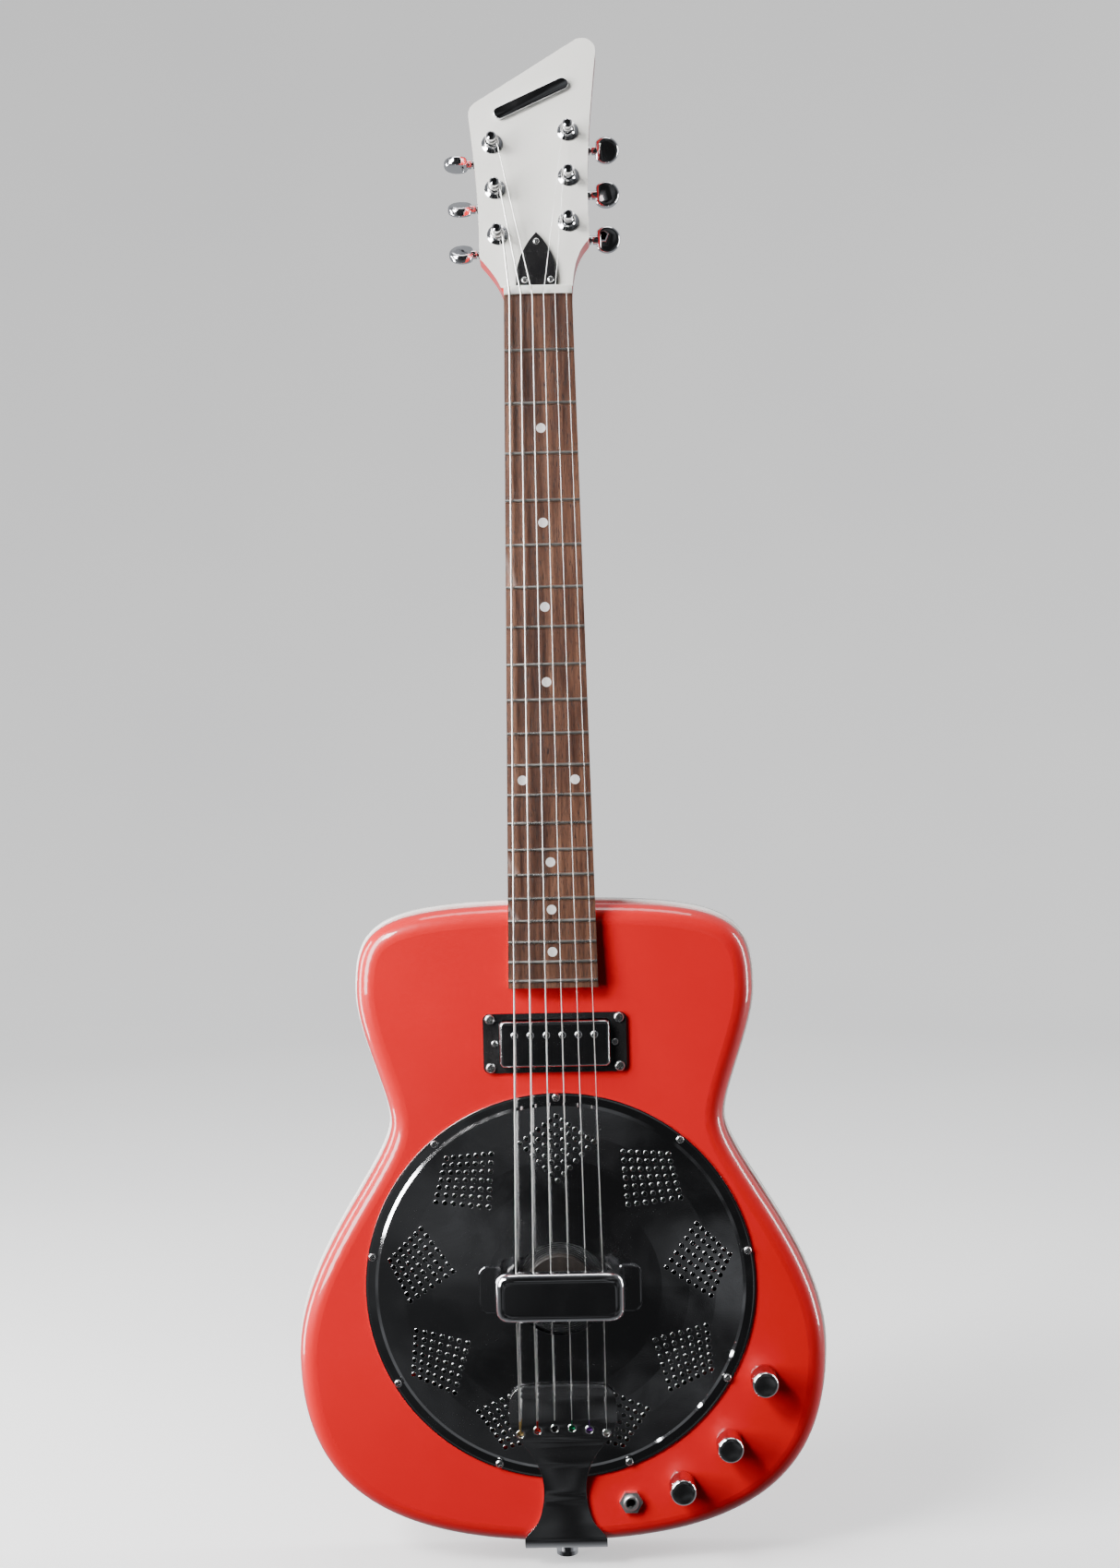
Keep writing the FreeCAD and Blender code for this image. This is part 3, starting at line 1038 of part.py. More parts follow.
def build_board():
    board = board_plan(-1.0, BOARD_THICK).common(crown())
    frets = [fret_wire(n) for n in range(1, FRET_COUNT + 1)]
    put("frets", placed(Part.makeCompound(frets), NECK))
    dots = []
    for n in (3, 5, 7, 9, 12, 15, 17, 19):
        s = SCALE_LENGTH * (1 - (2 ** (-(n - 1) / 12) + 2 ** (-n / 12)) / 2)
        offsets = (-16.5, 16.5) if n == 12 else (0,)
        for x in offsets:
            dots.append(cyl(DOT_RADIUS, V(x, -2, -s), V(x, 1.6, -s)).common(crown()))
    put("position_dots", placed(Part.makeCompound(dots), NECK))
    put("fingerboard", placed(board.cut(frets + dots), NECK))


def main():
    os.makedirs("parts", exist_ok=True)
    build_board()
    build_headstock()
    build_nut()
    small_screws = build_rod_cover()
    build_badge()
    small_screws += build_tuners()
    put("headstock_screws", Part.makeCompound(small_screws))
    build_body()
    build_binding()
    build_cone()
    build_cover()
    build_hand_rest()
    build_tailpiece()
    build_pickup()
    build_controls()
    build_back()
    build_strings()
    for name, shape in nodes.items():
        shape.exportStep("parts/%s.step" % name)
        print("%-22s solids %3d  volume %10.1f  valid %s"
              % (name, len(shape.Solids), shape.Volume, shape.isValid()))
    print(len(nodes), "nodes")


main()
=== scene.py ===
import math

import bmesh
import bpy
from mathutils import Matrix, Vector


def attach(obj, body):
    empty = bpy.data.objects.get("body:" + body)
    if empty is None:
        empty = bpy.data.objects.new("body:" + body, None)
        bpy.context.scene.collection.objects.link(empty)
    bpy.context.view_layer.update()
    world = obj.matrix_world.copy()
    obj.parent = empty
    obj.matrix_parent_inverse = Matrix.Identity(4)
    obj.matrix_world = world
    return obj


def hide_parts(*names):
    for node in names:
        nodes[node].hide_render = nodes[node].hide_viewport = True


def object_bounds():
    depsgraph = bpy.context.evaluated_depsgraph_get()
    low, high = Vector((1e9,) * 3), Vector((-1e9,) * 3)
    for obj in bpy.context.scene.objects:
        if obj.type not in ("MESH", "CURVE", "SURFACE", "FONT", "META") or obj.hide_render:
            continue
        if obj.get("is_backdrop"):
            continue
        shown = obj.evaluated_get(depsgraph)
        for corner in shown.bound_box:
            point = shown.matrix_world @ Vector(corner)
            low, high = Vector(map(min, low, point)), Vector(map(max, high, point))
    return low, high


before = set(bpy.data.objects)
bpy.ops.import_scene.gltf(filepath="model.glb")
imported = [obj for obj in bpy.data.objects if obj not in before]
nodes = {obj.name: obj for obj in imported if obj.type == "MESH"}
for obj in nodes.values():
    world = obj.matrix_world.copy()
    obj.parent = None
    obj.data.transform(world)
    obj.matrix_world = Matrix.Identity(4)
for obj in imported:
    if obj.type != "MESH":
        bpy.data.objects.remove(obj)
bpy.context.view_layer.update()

# %% [markdown]
# A resonator guitar: a solid red body with a spun metal cone under a domed
# chrome plate, a bolt-on maple neck with a rosewood board, and six strings.
# The CAD frame already holds every part at its true size, so this lesson
# adds the finish: materials first, then the small parts whose shape needs
# mesh work, then light and a camera.

MM = 0.001
FACE_Y = -25.0 * MM             # front face of the body
CONE_Z = 171.5 * MM             # height of the cone's centre

# %% [markdown]
# Most guitar finishes are the same recipe: one Principled shader whose
# colour, roughness and bump each come from a noise or wave texture at the
# scale of the real material. A small helper that adds a node and links it
# keeps each recipe short enough to read. All patterns use Object
# coordinates, which stay put when a part turns or the view moves.

# %% A helper for building materials


class Finish:
    """One material being built: its node tree, shader and coordinates."""

    def __init__(self, name, colour, roughness, metallic=0.0, **sockets):
        self.material = bpy.data.materials.new(name)
        self.material.use_nodes = True
        self.tree = self.material.node_tree
        self.shader = self.tree.nodes["Principled BSDF"]
        self.material.diffuse_color = (*colour, 1)
        self.shader.inputs["Base Color"].default_value = (*colour, 1)
        self.shader.inputs["Roughness"].default_value = roughness
        self.shader.inputs["Metallic"].default_value = metallic
        for socket, value in sockets.items():
            self.shader.inputs[socket.replace("_", " ")].default_value = value
        self.place = self.add("ShaderNodeTexCoord").outputs["Object"]

    def add(self, kind, links=None, **settings):
        node = self.tree.nodes.new(kind)
        for key, value in settings.items():
            setattr(node, key, value)
        for socket, value in (links or {}).items():
            if isinstance(value, bpy.types.NodeSocket):
                self.tree.links.new(value, node.inputs[socket])
            else:
                node.inputs[socket].default_value = value
        return node

    def link(self, output, socket):
        self.tree.links.new(output, self.shader.inputs[socket])

    def stretched(self, scale, shift=(0, 0, 0)):
        links = {"Vector": self.place, "Scale": scale, "Location": shift}
        return self.add("ShaderNodeMapping", links).outputs["Vector"]

    def noise(self, scale, detail=3.0, vector=None, roughness=0.5, distortion=0.0):
        links = {"Vector": vector or self.place, "Scale": scale, "Detail": detail,
                 "Roughness": roughness, "Distortion": distortion}
        return self.add("ShaderNodeTexNoise", links).outputs["Fac"]

    def ramp(self, value, *stops):
        node = self.add("ShaderNodeValToRGB", {"Fac": value})
        points = node.color_ramp.elements
        while len(points) < len(stops):
            points.new(0.5)
        for point, (position, colour) in zip(points, stops):
            point.position = position
            point.color = (*colour, 1) if len(colour) == 3 else colour
        return node.outputs["Color"]

    def span(self, value, low, high, start=0.3, end=0.7):
        links = {"Value": value, "From Min": start, "From Max": end,
                 "To Min": low, "To Max": high}
        return self.add("ShaderNodeMapRange", links).outputs["Result"]

    def maths(self, operation, first, second=0.0):
        node = self.add("ShaderNodeMath", {0: first, 1: second}, operation=operation)
        return node.outputs["Value"]

    def blend(self, factor, first, second):
        node = self.add("ShaderNodeMix", data_type="RGBA")
        self.tree.links.new(factor, node.inputs[0])
        for index, value in ((6, first), (7, second)):
            if isinstance(value, bpy.types.NodeSocket):
                self.tree.links.new(value, node.inputs[index])
            else:
                node.inputs[index].default_value = (*value, 1)
        return node.outputs[2]

    def bump(self, height, distance, strength=1.0, under=None):
        links = {"Height": height, "Distance": distance, "Strength": strength}
        if under is not None:
            links["Normal"] = under
        return self.add("ShaderNodeBump", links).outputs["Normal"]


FINISHES = {}


def keep(finish, slot):
    """File a finish under the CAD slot that it belongs to."""
    FINISHES[slot] = finish.material
    print("finish for", slot)


# %% [markdown]
# The body is sprayed with a solid red under thick clear lacquer. The red
# itself has no pattern: what the eye reads is the clear coat, with its
# slight orange peel, a little dust, and faint cloudy polish marks. So the
# base is plain and half rough, and the coat does the mirror work.

# %% Red lacquer
red = Finish("red_lacquer", (0.68, 0.004, 0.009), 0.42, Coat_Weight=1.0, Coat_Roughness=0.045,
             Coat_IOR=1.52, Specular_IOR_Level=0.35)
cloud = red.noise(9, 4)
red.link(red.ramp(cloud, (0.3, (0.64, 0.0035, 0.008)), (0.7, (0.73, 0.005, 0.011))), "Base Color")
specks = red.noise(900, 2)
red.link(red.span(specks, 0.30, 0.42), "Roughness")
peel = red.bump(red.noise(95, 2), 0.00002, 0.5)
red.link(peel, "Coat Normal")
red.link(red.bump(specks, 0.00001, 0.2, under=peel), "Normal")
keep(red, "red_paint")

# %% [markdown]
# The headstock face and the strip round the body are white under the same
# clear lacquer. Old lacquer is never pure white: it yellows a touch and
# keeps fine dust, so the colour drifts over a few centimetres.

# %% White lacquer and the white strip
white = Finish("white_lacquer", (0.86, 0.86, 0.84), 0.32, Coat_Weight=1.0, Coat_Roughness=0.04,
               Coat_IOR=1.5)
white.link(white.ramp(white.noise(14, 4), (0.3, (0.90, 0.885, 0.83)), (0.7, (0.95, 0.935, 0.89))),
           "Base Color")
white.link(white.bump(white.noise(110, 2), 0.00002, 0.4), "Coat Normal")
white.link(white.span(white.noise(500, 3), 0.26, 0.4), "Roughness")
keep(white, "white_face")

strip = Finish("white_strip", (0.86, 0.85, 0.82), 0.3, Coat_Weight=0.6, Coat_Roughness=0.12)
strip.link(strip.ramp(strip.noise(40, 5), (0.3, (0.78, 0.77, 0.73)), (0.68, (0.90, 0.89, 0.86))),
           "Base Color")
strip.link(strip.bump(strip.noise(260, 3), 0.00003, 0.5), "Normal")
strip.link(strip.span(strip.noise(120, 3), 0.22, 0.42), "Roughness")
keep(strip, "white_strip")

# %% [markdown]
# Rosewood shows dark streaks along the neck with short open pores between
# them. A noise stretched forty times along Z makes the streaks, a finer
# one makes the pores, and both also press into the surface as bump.

# %% Rosewood board
rosewood = Finish("rosewood", (0.08, 0.035, 0.02), 0.45, Specular_IOR_Level=0.45)
long_grain = rosewood.stretched((1.0, 1.0, 0.022))
streak = rosewood.noise(330, 5, long_grain, 0.62, 0.4)
broad = rosewood.noise(75, 3, long_grain, 0.5, 0.8)
tone = rosewood.maths("ADD", rosewood.maths("MULTIPLY", streak, 0.6),
                      rosewood.maths("MULTIPLY", broad, 0.4))
brown = rosewood.ramp(tone, (0.36, (0.030, 0.011, 0.007)), (0.48, (0.085, 0.034, 0.020)),
                      (0.58, (0.15, 0.064, 0.036)), (0.70, (0.24, 0.115, 0.065)))
pores = rosewood.noise(2600, 2, rosewood.stretched((1.0, 1.0, 0.045)), 0.5)
pore_mask = rosewood.span(pores, 0.0, 1.0, 0.34, 0.42)
rosewood.link(rosewood.blend(pore_mask, (0.018, 0.007, 0.005), brown), "Base Color")
rosewood.link(rosewood.bump(pore_mask, 0.00012, 0.45), "Normal")
rosewood.link(rosewood.span(tone, 0.40, 0.56), "Roughness")
keep(rosewood, "rosewood")

# %% [markdown]
# The ledge inside the body is bare alder, pale and matt with soft growth
# rings. The saddle is maple painted nearly black, as painted shade for the
# dark inside of the opening under the cover plate, not a stain.

# %% Bare wood and maple
# the maple pair of colours is painted shade: nearly black for the shadow inside the opening
for slot, light, dark in (("bare_wood", (0.56, 0.38, 0.22), (0.38, 0.235, 0.125)),
                          ("maple", (0.020, 0.014, 0.011), (0.009, 0.006, 0.005))):
    wood = Finish(slot, light, 0.6)
    growth = wood.noise(120, 4, wood.stretched((1.0, 1.0, 0.05)), 0.55, 0.6)
    wood.link(wood.ramp(growth, (0.35, dark), (0.65, light)), "Base Color")
    wood.link(wood.bump(growth, 0.00015, 0.35), "Normal")
    wood.link(wood.span(wood.noise(600, 3), 0.5, 0.7), "Roughness")
    keep(wood, slot)

# %% [markdown]
# Chrome is a mirror, but the large pressed plate of a played guitar is not
# perfect: finger smudges raise the roughness in soft patches, dust sits in
# specks, and the pressing leaves very shallow waves that bend reflections.

# %% Chrome, plain and smudged


def metal(name, colour, roughness, smudge, wave, wave_scale=22, fine=0.0):
    finish = Finish(name, colour, roughness, 1.0)
    patches = finish.noise(28, 5, None, 0.6, 0.7)
    specks = finish.noise(1500, 2)
    dust = finish.span(specks, 0.0, smudge, 0.66, 0.74)
    base = finish.span(patches, roughness, roughness + smudge, 0.42, 0.74)
    finish.link(finish.maths("ADD", base, dust), "Roughness")
    darker = tuple(c * 0.88 for c in colour)
    finish.link(finish.ramp(patches, (0.35, colour), (0.75, darker)), "Base Color")
    bend = finish.bump(finish.noise(wave_scale, 2), wave, 1.0)
    if fine:
        bend = finish.bump(specks, fine, 0.6, under=bend)
    finish.link(bend, "Normal")
    return finish


keep(metal("chrome", (0.80, 0.80, 0.82), 0.07, 0.10, 0.00004, 30), "chrome")
keep(metal("bright_chrome", (0.88, 0.88, 0.89), 0.12, 0.06, 0.00001, 60), "bright_chrome")
keep(metal("tail_chrome", (0.66, 0.66, 0.67), 0.15, 0.06, 0.00001, 30), "tail_chrome")
keep(metal("knob_chrome", (0.84, 0.84, 0.85), 0.10, 0.10, 0.00001, 60), "knob_chrome")
keep(metal("plate_chrome", (0.72, 0.72, 0.735), 0.06, 0.13, 0.0006, 16, 0.00001), "plate")
keep(metal("bright_steel", (0.62, 0.61, 0.60), 0.2, 0.12, 0.0001, 60, 0.00003), "bright_steel")
keep(metal("screw_steel", (0.84, 0.84, 0.84), 0.20, 0.12, 0.00002, 200), "screw_steel")
keep(metal("nut_steel", (0.86, 0.86, 0.86), 0.36, 0.12, 0.00002, 120), "nut_steel")
keep(metal("fret_wire", (0.86, 0.85, 0.81), 0.27, 0.12, 0.00001, 300), "fret_wire")

# %% [markdown]
# The three low strings are wound: a fine wire is coiled round a core, which
# shows as a rope-like ripple across the string. The three high ones are
# plain. Both are one finish here: a ripple along Z, faded out where X is on
# the treble side. The ball ends are coloured one by one, to tell the strings
# apart: a third pattern, six bands across the tailpiece, below its holes.

# %% Strings and their ball ends
string = Finish("steel_string", (0.92, 0.91, 0.88), 0.32, 1.0)
axes = string.add("ShaderNodeSeparateXYZ", {"Vector": string.place}).outputs
wound = string.span(axes["X"], 1.0, 0.0, -0.0010, 0.0010)
ripple = string.add("ShaderNodeTexWave", {"Vector": string.place, "Scale": 820.0},
                    wave_type="BANDS", bands_direction="Z").outputs["Fac"]
ripple = string.maths("MULTIPLY", ripple, wound)
BALL_LINE = CONE_Z - 82.5 * MM
code = string.ramp(string.span(axes["X"], 0.0, 1.0, -0.033, 0.033),
                   (0.0, (0.75, 0.52, 0.20)), (1 / 6, (0.62, 0.03, 0.02)), (2 / 6, (0.03, 0.03, 0.03)),
                   (3 / 6, (0.01, 0.28, 0.10)), (4 / 6, (0.16, 0.03, 0.30)), (5 / 6, (0.72, 0.72, 0.70)))
code.node.color_ramp.interpolation = "CONSTANT"
ball_end = string.span(axes["Z"], 1.0, 0.0, BALL_LINE - 0.0002, BALL_LINE + 0.0002)
tint = string.ramp(string.noise(70, 3), (0.35, (0.90, 0.89, 0.86)), (0.65, (0.95, 0.94, 0.92)))
string.link(string.blend(ball_end, tint, code), "Base Color")
string.link(string.bump(ripple, 0.00002, 0.3), "Normal")
string.link(string.span(string.noise(300, 3), 0.3, 0.4), "Roughness")
keep(string, "steel_string")

# %% [markdown]
# The cone is thin aluminium spun on a lathe, which leaves fine circular
# tool marks. A ring wave centred on the cone's axis gives them. Its colour
# is a dark grey, far below bare aluminium: painted shade for the dark
# inside of the opening.

# %% Spun aluminium
# base and ramp colours kept dark grey as painted shade for the inside of the opening; the noise is the
# metal's own random tone
spun = Finish("spun_aluminium", (0.36, 0.37, 0.38), 0.2, 1.0)
centred = spun.stretched((1, 1, 1), shift=(0, 0, -CONE_Z))
lathe_marks = spun.add("ShaderNodeTexWave", {"Vector": centred, "Scale": 260, "Distortion": 0.4},
                       wave_type="RINGS", rings_direction="Y").outputs["Fac"]
spun.link(spun.bump(lathe_marks, 0.00004, 0.5), "Normal")
spun.link(spun.span(lathe_marks, 0.22, 0.36, 0, 1), "Roughness")
spun.link(spun.ramp(spun.noise(30, 3), (0.3, (0.32, 0.33, 0.34)), (0.7, (0.40, 0.41, 0.42))),
          "Base Color")
keep(spun, "spun_aluminium")

# %% [markdown]
# Small light and dark parts: pearl dots shimmer in pale green and pink,
# the nut is a creamy moulding, and black plastic is dark grey rather than
# black, with a faint grain.

# %% Pearl, nut and black plastic
pearl = Finish("pearl", (0.84, 0.84, 0.80), 0.22, Coat_Weight=0.8, Coat_Roughness=0.08)
swirl = pearl.noise(420, 4, None, 0.6, 2.2)
pearl.link(pearl.ramp(swirl, (0.32, (0.70, 0.74, 0.70)), (0.45, (0.88, 0.88, 0.85)),
                      (0.56, (0.84, 0.78, 0.80)), (0.68, (0.92, 0.92, 0.88))), "Base Color")
pearl.link(pearl.span(swirl, 0.14, 0.3), "Roughness")
pearl.link(pearl.bump(swirl, 0.00002, 0.3), "Normal")
keep(pearl, "pearl")

nut = Finish("nut_white", (0.86, 0.85, 0.80), 0.36, Subsurface_Weight=0.08)
nut.link(nut.ramp(nut.noise(260, 4), (0.3, (0.80, 0.78, 0.71)), (0.7, (0.89, 0.88, 0.84))),
         "Base Color")
nut.link(nut.bump(nut.noise(1600, 3), 0.00002, 0.5), "Normal")
keep(nut, "nut_white")

black = Finish("black_plastic", (0.012, 0.012, 0.013), 0.16, Coat_Weight=0.6, Coat_Roughness=0.05)
grain = black.noise(700, 4)
black.link(black.span(grain, 0.12, 0.28), "Roughness")
black.link(black.ramp(black.noise(30, 3), (0.3, (0.008, 0.008, 0.009)), (0.7, (0.022, 0.021, 0.021))),
           "Base Color")
black.link(black.bump(grain, 0.00001, 0.4), "Normal")
keep(black, "black_plastic")

# %% [markdown]
# Every CAD node keeps its shape here and only trades its plain colour for
# the finish of the same slot. The pressed cover plate gets its own chrome,
# because its smudges are larger and its metal wavier than on small parts,
# and the jack and the panel nuts a duller steel.

# %% Give the CAD nodes their finishes
OWN_FINISH = {"cover_plate": "plate", "panel_nuts": "nut_steel", "output_jack": "nut_steel"}
for name, node in nodes.items():
    for held in node.material_slots:
        slot = OWN_FINISH.get(name) or held.material.name.split(".")[0]
        held.material = FINISHES[slot]
print(len(nodes), "nodes finished")

# %% [markdown]
# The small bright parts are rebuilt in mesh, because their edges catch the
# light: a hard CAD edge shows nothing, a rounded one shows a white line.
# Each is shaped in a bmesh, then handed to one helper that makes the
# object, marks sharp edges by angle and seats it on its CAD body.

# %% From a bmesh to a finished piece


def piece(name, bm, slot, body, stands_for=(), sharp=32):
    bmesh.ops.recalc_face_normals(bm, faces=bm.faces[:])
    mesh = bpy.data.meshes.new(name)
    bm.to_mesh(mesh)
    bm.free()
    for face in mesh.polygons:
        face.use_smooth = True
    mesh.set_sharp_from_angle(angle=math.radians(sharp))
    obj = bpy.data.objects.new(name, mesh)
    bpy.context.scene.collection.objects.link(obj)
    mesh.materials.append(FINISHES[slot])
    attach(obj, body)
    for node in stands_for:
        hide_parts(node)
    print(name, len(mesh.polygons), "faces")
    return obj


def rings(bm, profile, segments):
    """Stack circles along +Z: profile holds (radius, height) pairs."""
    radius, height = profile[0]
    made = bmesh.ops.create_circle(bm, radius=radius, segments=segments)["verts"]
    bmesh.ops.translate(bm, vec=(0, 0, height), verts=made)
    loop = list({edge for vert in made for edge in vert.link_edges})
    for radius_next, height_next in profile[1:]:
        grown = bmesh.ops.extrude_edge_only(bm, edges=loop)["geom"]
        made = [g for g in grown if isinstance(g, bmesh.types.BMVert)]
        loop = [g for g in grown if isinstance(g, bmesh.types.BMEdge)
                and all(v in made for v in g.verts)]
        factor = radius_next / radius
        bmesh.ops.scale(bm, vec=(factor, factor, 1), verts=made)
        bmesh.ops.translate(bm, vec=(0, 0, height_next - height), verts=made)
        radius, height = radius_next, height_next
    return made, loop


def seat(bm, verts, spot, facing=(0, -1, 0), roll=0.0):
    """Turn a part built along +Z to face a direction, and put it in place."""
    turn = Vector((0, 0, 1)).rotation_difference(Vector(facing)).to_matrix()
    turn = turn @ Matrix.Rotation(roll, 3, "Z")
    bmesh.ops.rotate(bm, cent=(0, 0, 0), matrix=turn, verts=verts)
    bmesh.ops.translate(bm, vec=spot, verts=verts)


# %% [markdown]
# Screw heads are domes with a driver recess. The dome is a stack of
# circles, the recess is a cross or slot drawn with a few points, bridged
# to the innermost circle and then pushed down. One master is copied to
# every seat, each turned a little differently, as real screws are.

# %% Screw head masters


def screw_master(radius, height, recess):
    """Domed head on z=0 with a recess; lengths in millimetres."""
    bm = bmesh.new()
    profile = [(radius * 0.98, 0.0), (radius, height * 0.25), (radius * 0.9, height * 0.68),
               (radius * 0.7, height * 0.95)]
    _, loop = rings(bm, profile, 24)
    outline = [bm.verts.new((x * radius, y * radius, height)) for x, y in recess]
    edges = [bm.edges.new((a, b)) for a, b in zip(outline, outline[1:] + outline[:1])]
    bmesh.ops.subdivide_edges(bm, edges=edges, cuts=24 // len(recess) - 1)
    inner = [e for e in bm.edges if all(abs(v.co.z - height) < 1e-6 for v in e.verts)]
    bmesh.ops.bridge_loops(bm, edges=loop + inner)
    floor = bmesh.ops.extrude_edge_only(bm, edges=inner)["geom"]
    low = [g for g in floor if isinstance(g, bmesh.types.BMVert)]
    bmesh.ops.translate(bm, vec=(0, 0, -height * 0.6), verts=low)
    bmesh.ops.holes_fill(bm, edges=[g for g in floor if isinstance(g, bmesh.types.BMEdge)
                                    and all(v in low for v in g.verts)])
    bmesh.ops.scale(bm, vec=(MM, MM, MM), verts=bm.verts[:])
    mesh = bpy.data.meshes.new("screw_master")
    bm.to_mesh(mesh)
    bm.free()
    return mesh


ARM, WIDE = 0.52, 0.13
CROSS = [(WIDE, ARM), (WIDE, WIDE), (ARM, WIDE), (ARM, -WIDE), (WIDE, -WIDE), (WIDE, -ARM),
         (-WIDE, -ARM), (-WIDE, -WIDE), (-ARM, -WIDE), (-ARM, WIDE), (-WIDE, WIDE), (-WIDE, ARM)]
SLOT = [(-0.62, 0.14), (0.62, 0.14), (0.62, -0.14), (-0.62, -0.14)]


def copies(master, seats):
    """One bmesh with the master at every (place, facing, roll)."""
    bm = bmesh.new()
    for spot, facing, roll in seats:
        start = len(bm.verts)
        bm.from_mesh(master)
        bm.verts.ensure_lookup_table()
        seat(bm, bm.verts[start:], spot, facing, roll)
    return bm


def on_face(x, z, lift=0.0):
    """A point on the body face: x and height from the cone centre, in mm."""
    return Vector((x * MM, FACE_Y - lift * MM, CONE_Z + z * MM))


COVER_RADIUS, COVER_SCREWS = 123.5, 9
COVER_RIM, COVER_THICK, COVER_STEP, COVER_DOME = 8.0, 1.0, 1.0, 4.0
FRONT = (0, -1, 0)
angles = [math.tau * i / COVER_SCREWS for i in range(COVER_SCREWS)]
ring = COVER_RADIUS - 2.8
seats = [(on_face(ring * math.sin(a), ring * math.cos(a), COVER_THICK), FRONT, 0.4 + 1.7 * i)
         for i, a in enumerate(angles)]
small_head = screw_master(2.6, 1.6, CROSS)
piece("cover_plate_screw_heads", copies(small_head, seats), "screw_steel", "guitar",
      ["cover_plate_screws"])

PICKUP_Z, RING_LENGTH, RING_WIDTH, RING_THICK = 155.6, 90.4, 37.6, 1.8
spots = [(sx * (RING_LENGTH / 2 - 4.5), PICKUP_Z + sz * (RING_WIDTH / 2 - 3.4))
         for sx in (-1, 1) for sz in (-1, 1)]
seats = [(on_face(x, z, RING_THICK), FRONT, 0.3 + 1.1 * i) for i, (x, z) in enumerate(spots)]
bm = copies(screw_master(3.2, 1.5, CROSS), seats)
piece("pickup_corner_screws", bm, "screw_steel", "guitar", ["pickup_screws"])
seats = [(on_face(s * (69.2 / 2 + 3.3), PICKUP_Z, RING_THICK), FRONT, 0.5 * s) for s in (-1, 1)]
piece("pickup_height_screws", copies(screw_master(2.2, 1.1, CROSS), seats), "screw_steel",
      "guitar", ["pickup_screws"])

# %% [markdown]
# Each vent in the cover plate was punched from the front and keeps a small
# raised lip. There are 441, so one lip is only three bands of twelve faces.

# %% Vent lips and tail hole lips


def cover_height(r):
    return COVER_THICK + COVER_STEP + COVER_DOME * (1 - (r / (COVER_RADIUS - COVER_RIM)) ** 2)


def lip_master(profile, segments):
    bm = bmesh.new()
    rings(bm, [(r * MM, h * MM) for r, h in profile], segments)
    mesh = bpy.data.meshes.new("lip_master")
    bm.to_mesh(mesh)
    bm.free()
    return mesh


VENT_GRID = 7
TIP, SIDE, INNER = 109.0, (23.3, 92.5), 68.5
seats = []
for a in angles:
    for i in range(VENT_GRID):
        for j in range(VENT_GRID):
            u, v = i / (VENT_GRID - 1), j / (VENT_GRID - 1)
            x = (u - v) * SIDE[0]
            z = (1 - u) * (1 - v) * TIP + (u * (1 - v) + v * (1 - u)) * SIDE[1] + u * v * INNER
            px, pz = x * math.cos(a) + z * math.sin(a), z * math.cos(a) - x * math.sin(a)
            r = math.hypot(px, pz)
            slope = 2 * COVER_DOME * r / (COVER_RADIUS - COVER_RIM) ** 2
            facing = Vector((slope * px / r, -1, slope * pz / r))
            seats.append((on_face(px, pz, cover_height(r)), facing, 0.0))
vent_lip = lip_master([(1.5, 0.06), (1.55, 0.15), (1.63, 0.15), (1.76, -0.02)], 12)
piece("vent_lips", copies(vent_lip, seats), "chrome", "guitar", sharp=60)

TAIL_SPREAD, HOLE_LINE, HOLE_ARC, HOOD_LIFT, TAIL_THICK = 27.2, -88.0, 3.6, 8.9, 1.5
seats = []
for i in range(6):
    x = TAIL_SPREAD * (1 - 2 * i / 5)
    z = HOLE_LINE - HOLE_ARC * (x / TAIL_SPREAD) ** 2
    seats.append((on_face(x, z, HOOD_LIFT + TAIL_THICK / 2), FRONT, 0.0))
hole_lip = lip_master([(2.12, -0.6), (2.14, 0.1), (2.3, 0.3), (2.55, 0.3), (2.8, -0.05)], 32)
piece("tail_hole_lips", copies(hole_lip, seats), "bright_chrome", "guitar", sharp=60)


# %% [markdown]
# The rim of the cover plate is polished round its edge, a thin bright line
# against the lacquer. One ring of four bands follows it, a hair outside.

# %% Cover plate edge
bm = bmesh.new()
edge_profile = [(121.9, 1.03), (122.8, 1.0), (123.35, 0.8), (123.6, 0.45), (123.62, 0.02)]
rings(bm, [(r * MM, h * MM) for r, h in edge_profile], 240)
seat(bm, bm.verts[:], on_face(0, 0))
piece("cover_plate_edge", bm, "bright_chrome", "guitar", sharp=80)

# %% [markdown]
# The pressed and machined parts leave the CAD with knife-sharp edges, which
# never catch a light. A copy of each has its flat triangles merged back
# into whole faces, then every corner steeper than a limit is rounded by a
# few tenths of a millimetre. The rounding sits inside the CAD shape.

# %% Parts with softened edges


def softened(node, width, slot, body="guitar", corner=40, steps=3):
    bm = bmesh.new()
    bm.from_mesh(nodes[node].data)
    bm.transform(nodes[node].matrix_world)
    bmesh.ops.remove_doubles(bm, verts=bm.verts[:], dist=2e-6)
    bmesh.ops.dissolve_limit(bm, angle_limit=math.radians(0.6), verts=bm.verts[:], edges=bm.edges[:])
    corners = [edge for edge in bm.edges
               if len(edge.link_faces) == 2 and edge.calc_face_angle() > math.radians(corner)]
    bmesh.ops.bevel(bm, geom=corners, offset=width * MM, offset_type="OFFSET", segments=steps,
                    profile=0.5, affect="EDGES", clamp_overlap=True, harden_normals=False)
    return piece(node + "_soft", bm, slot, body, [node], sharp=46)


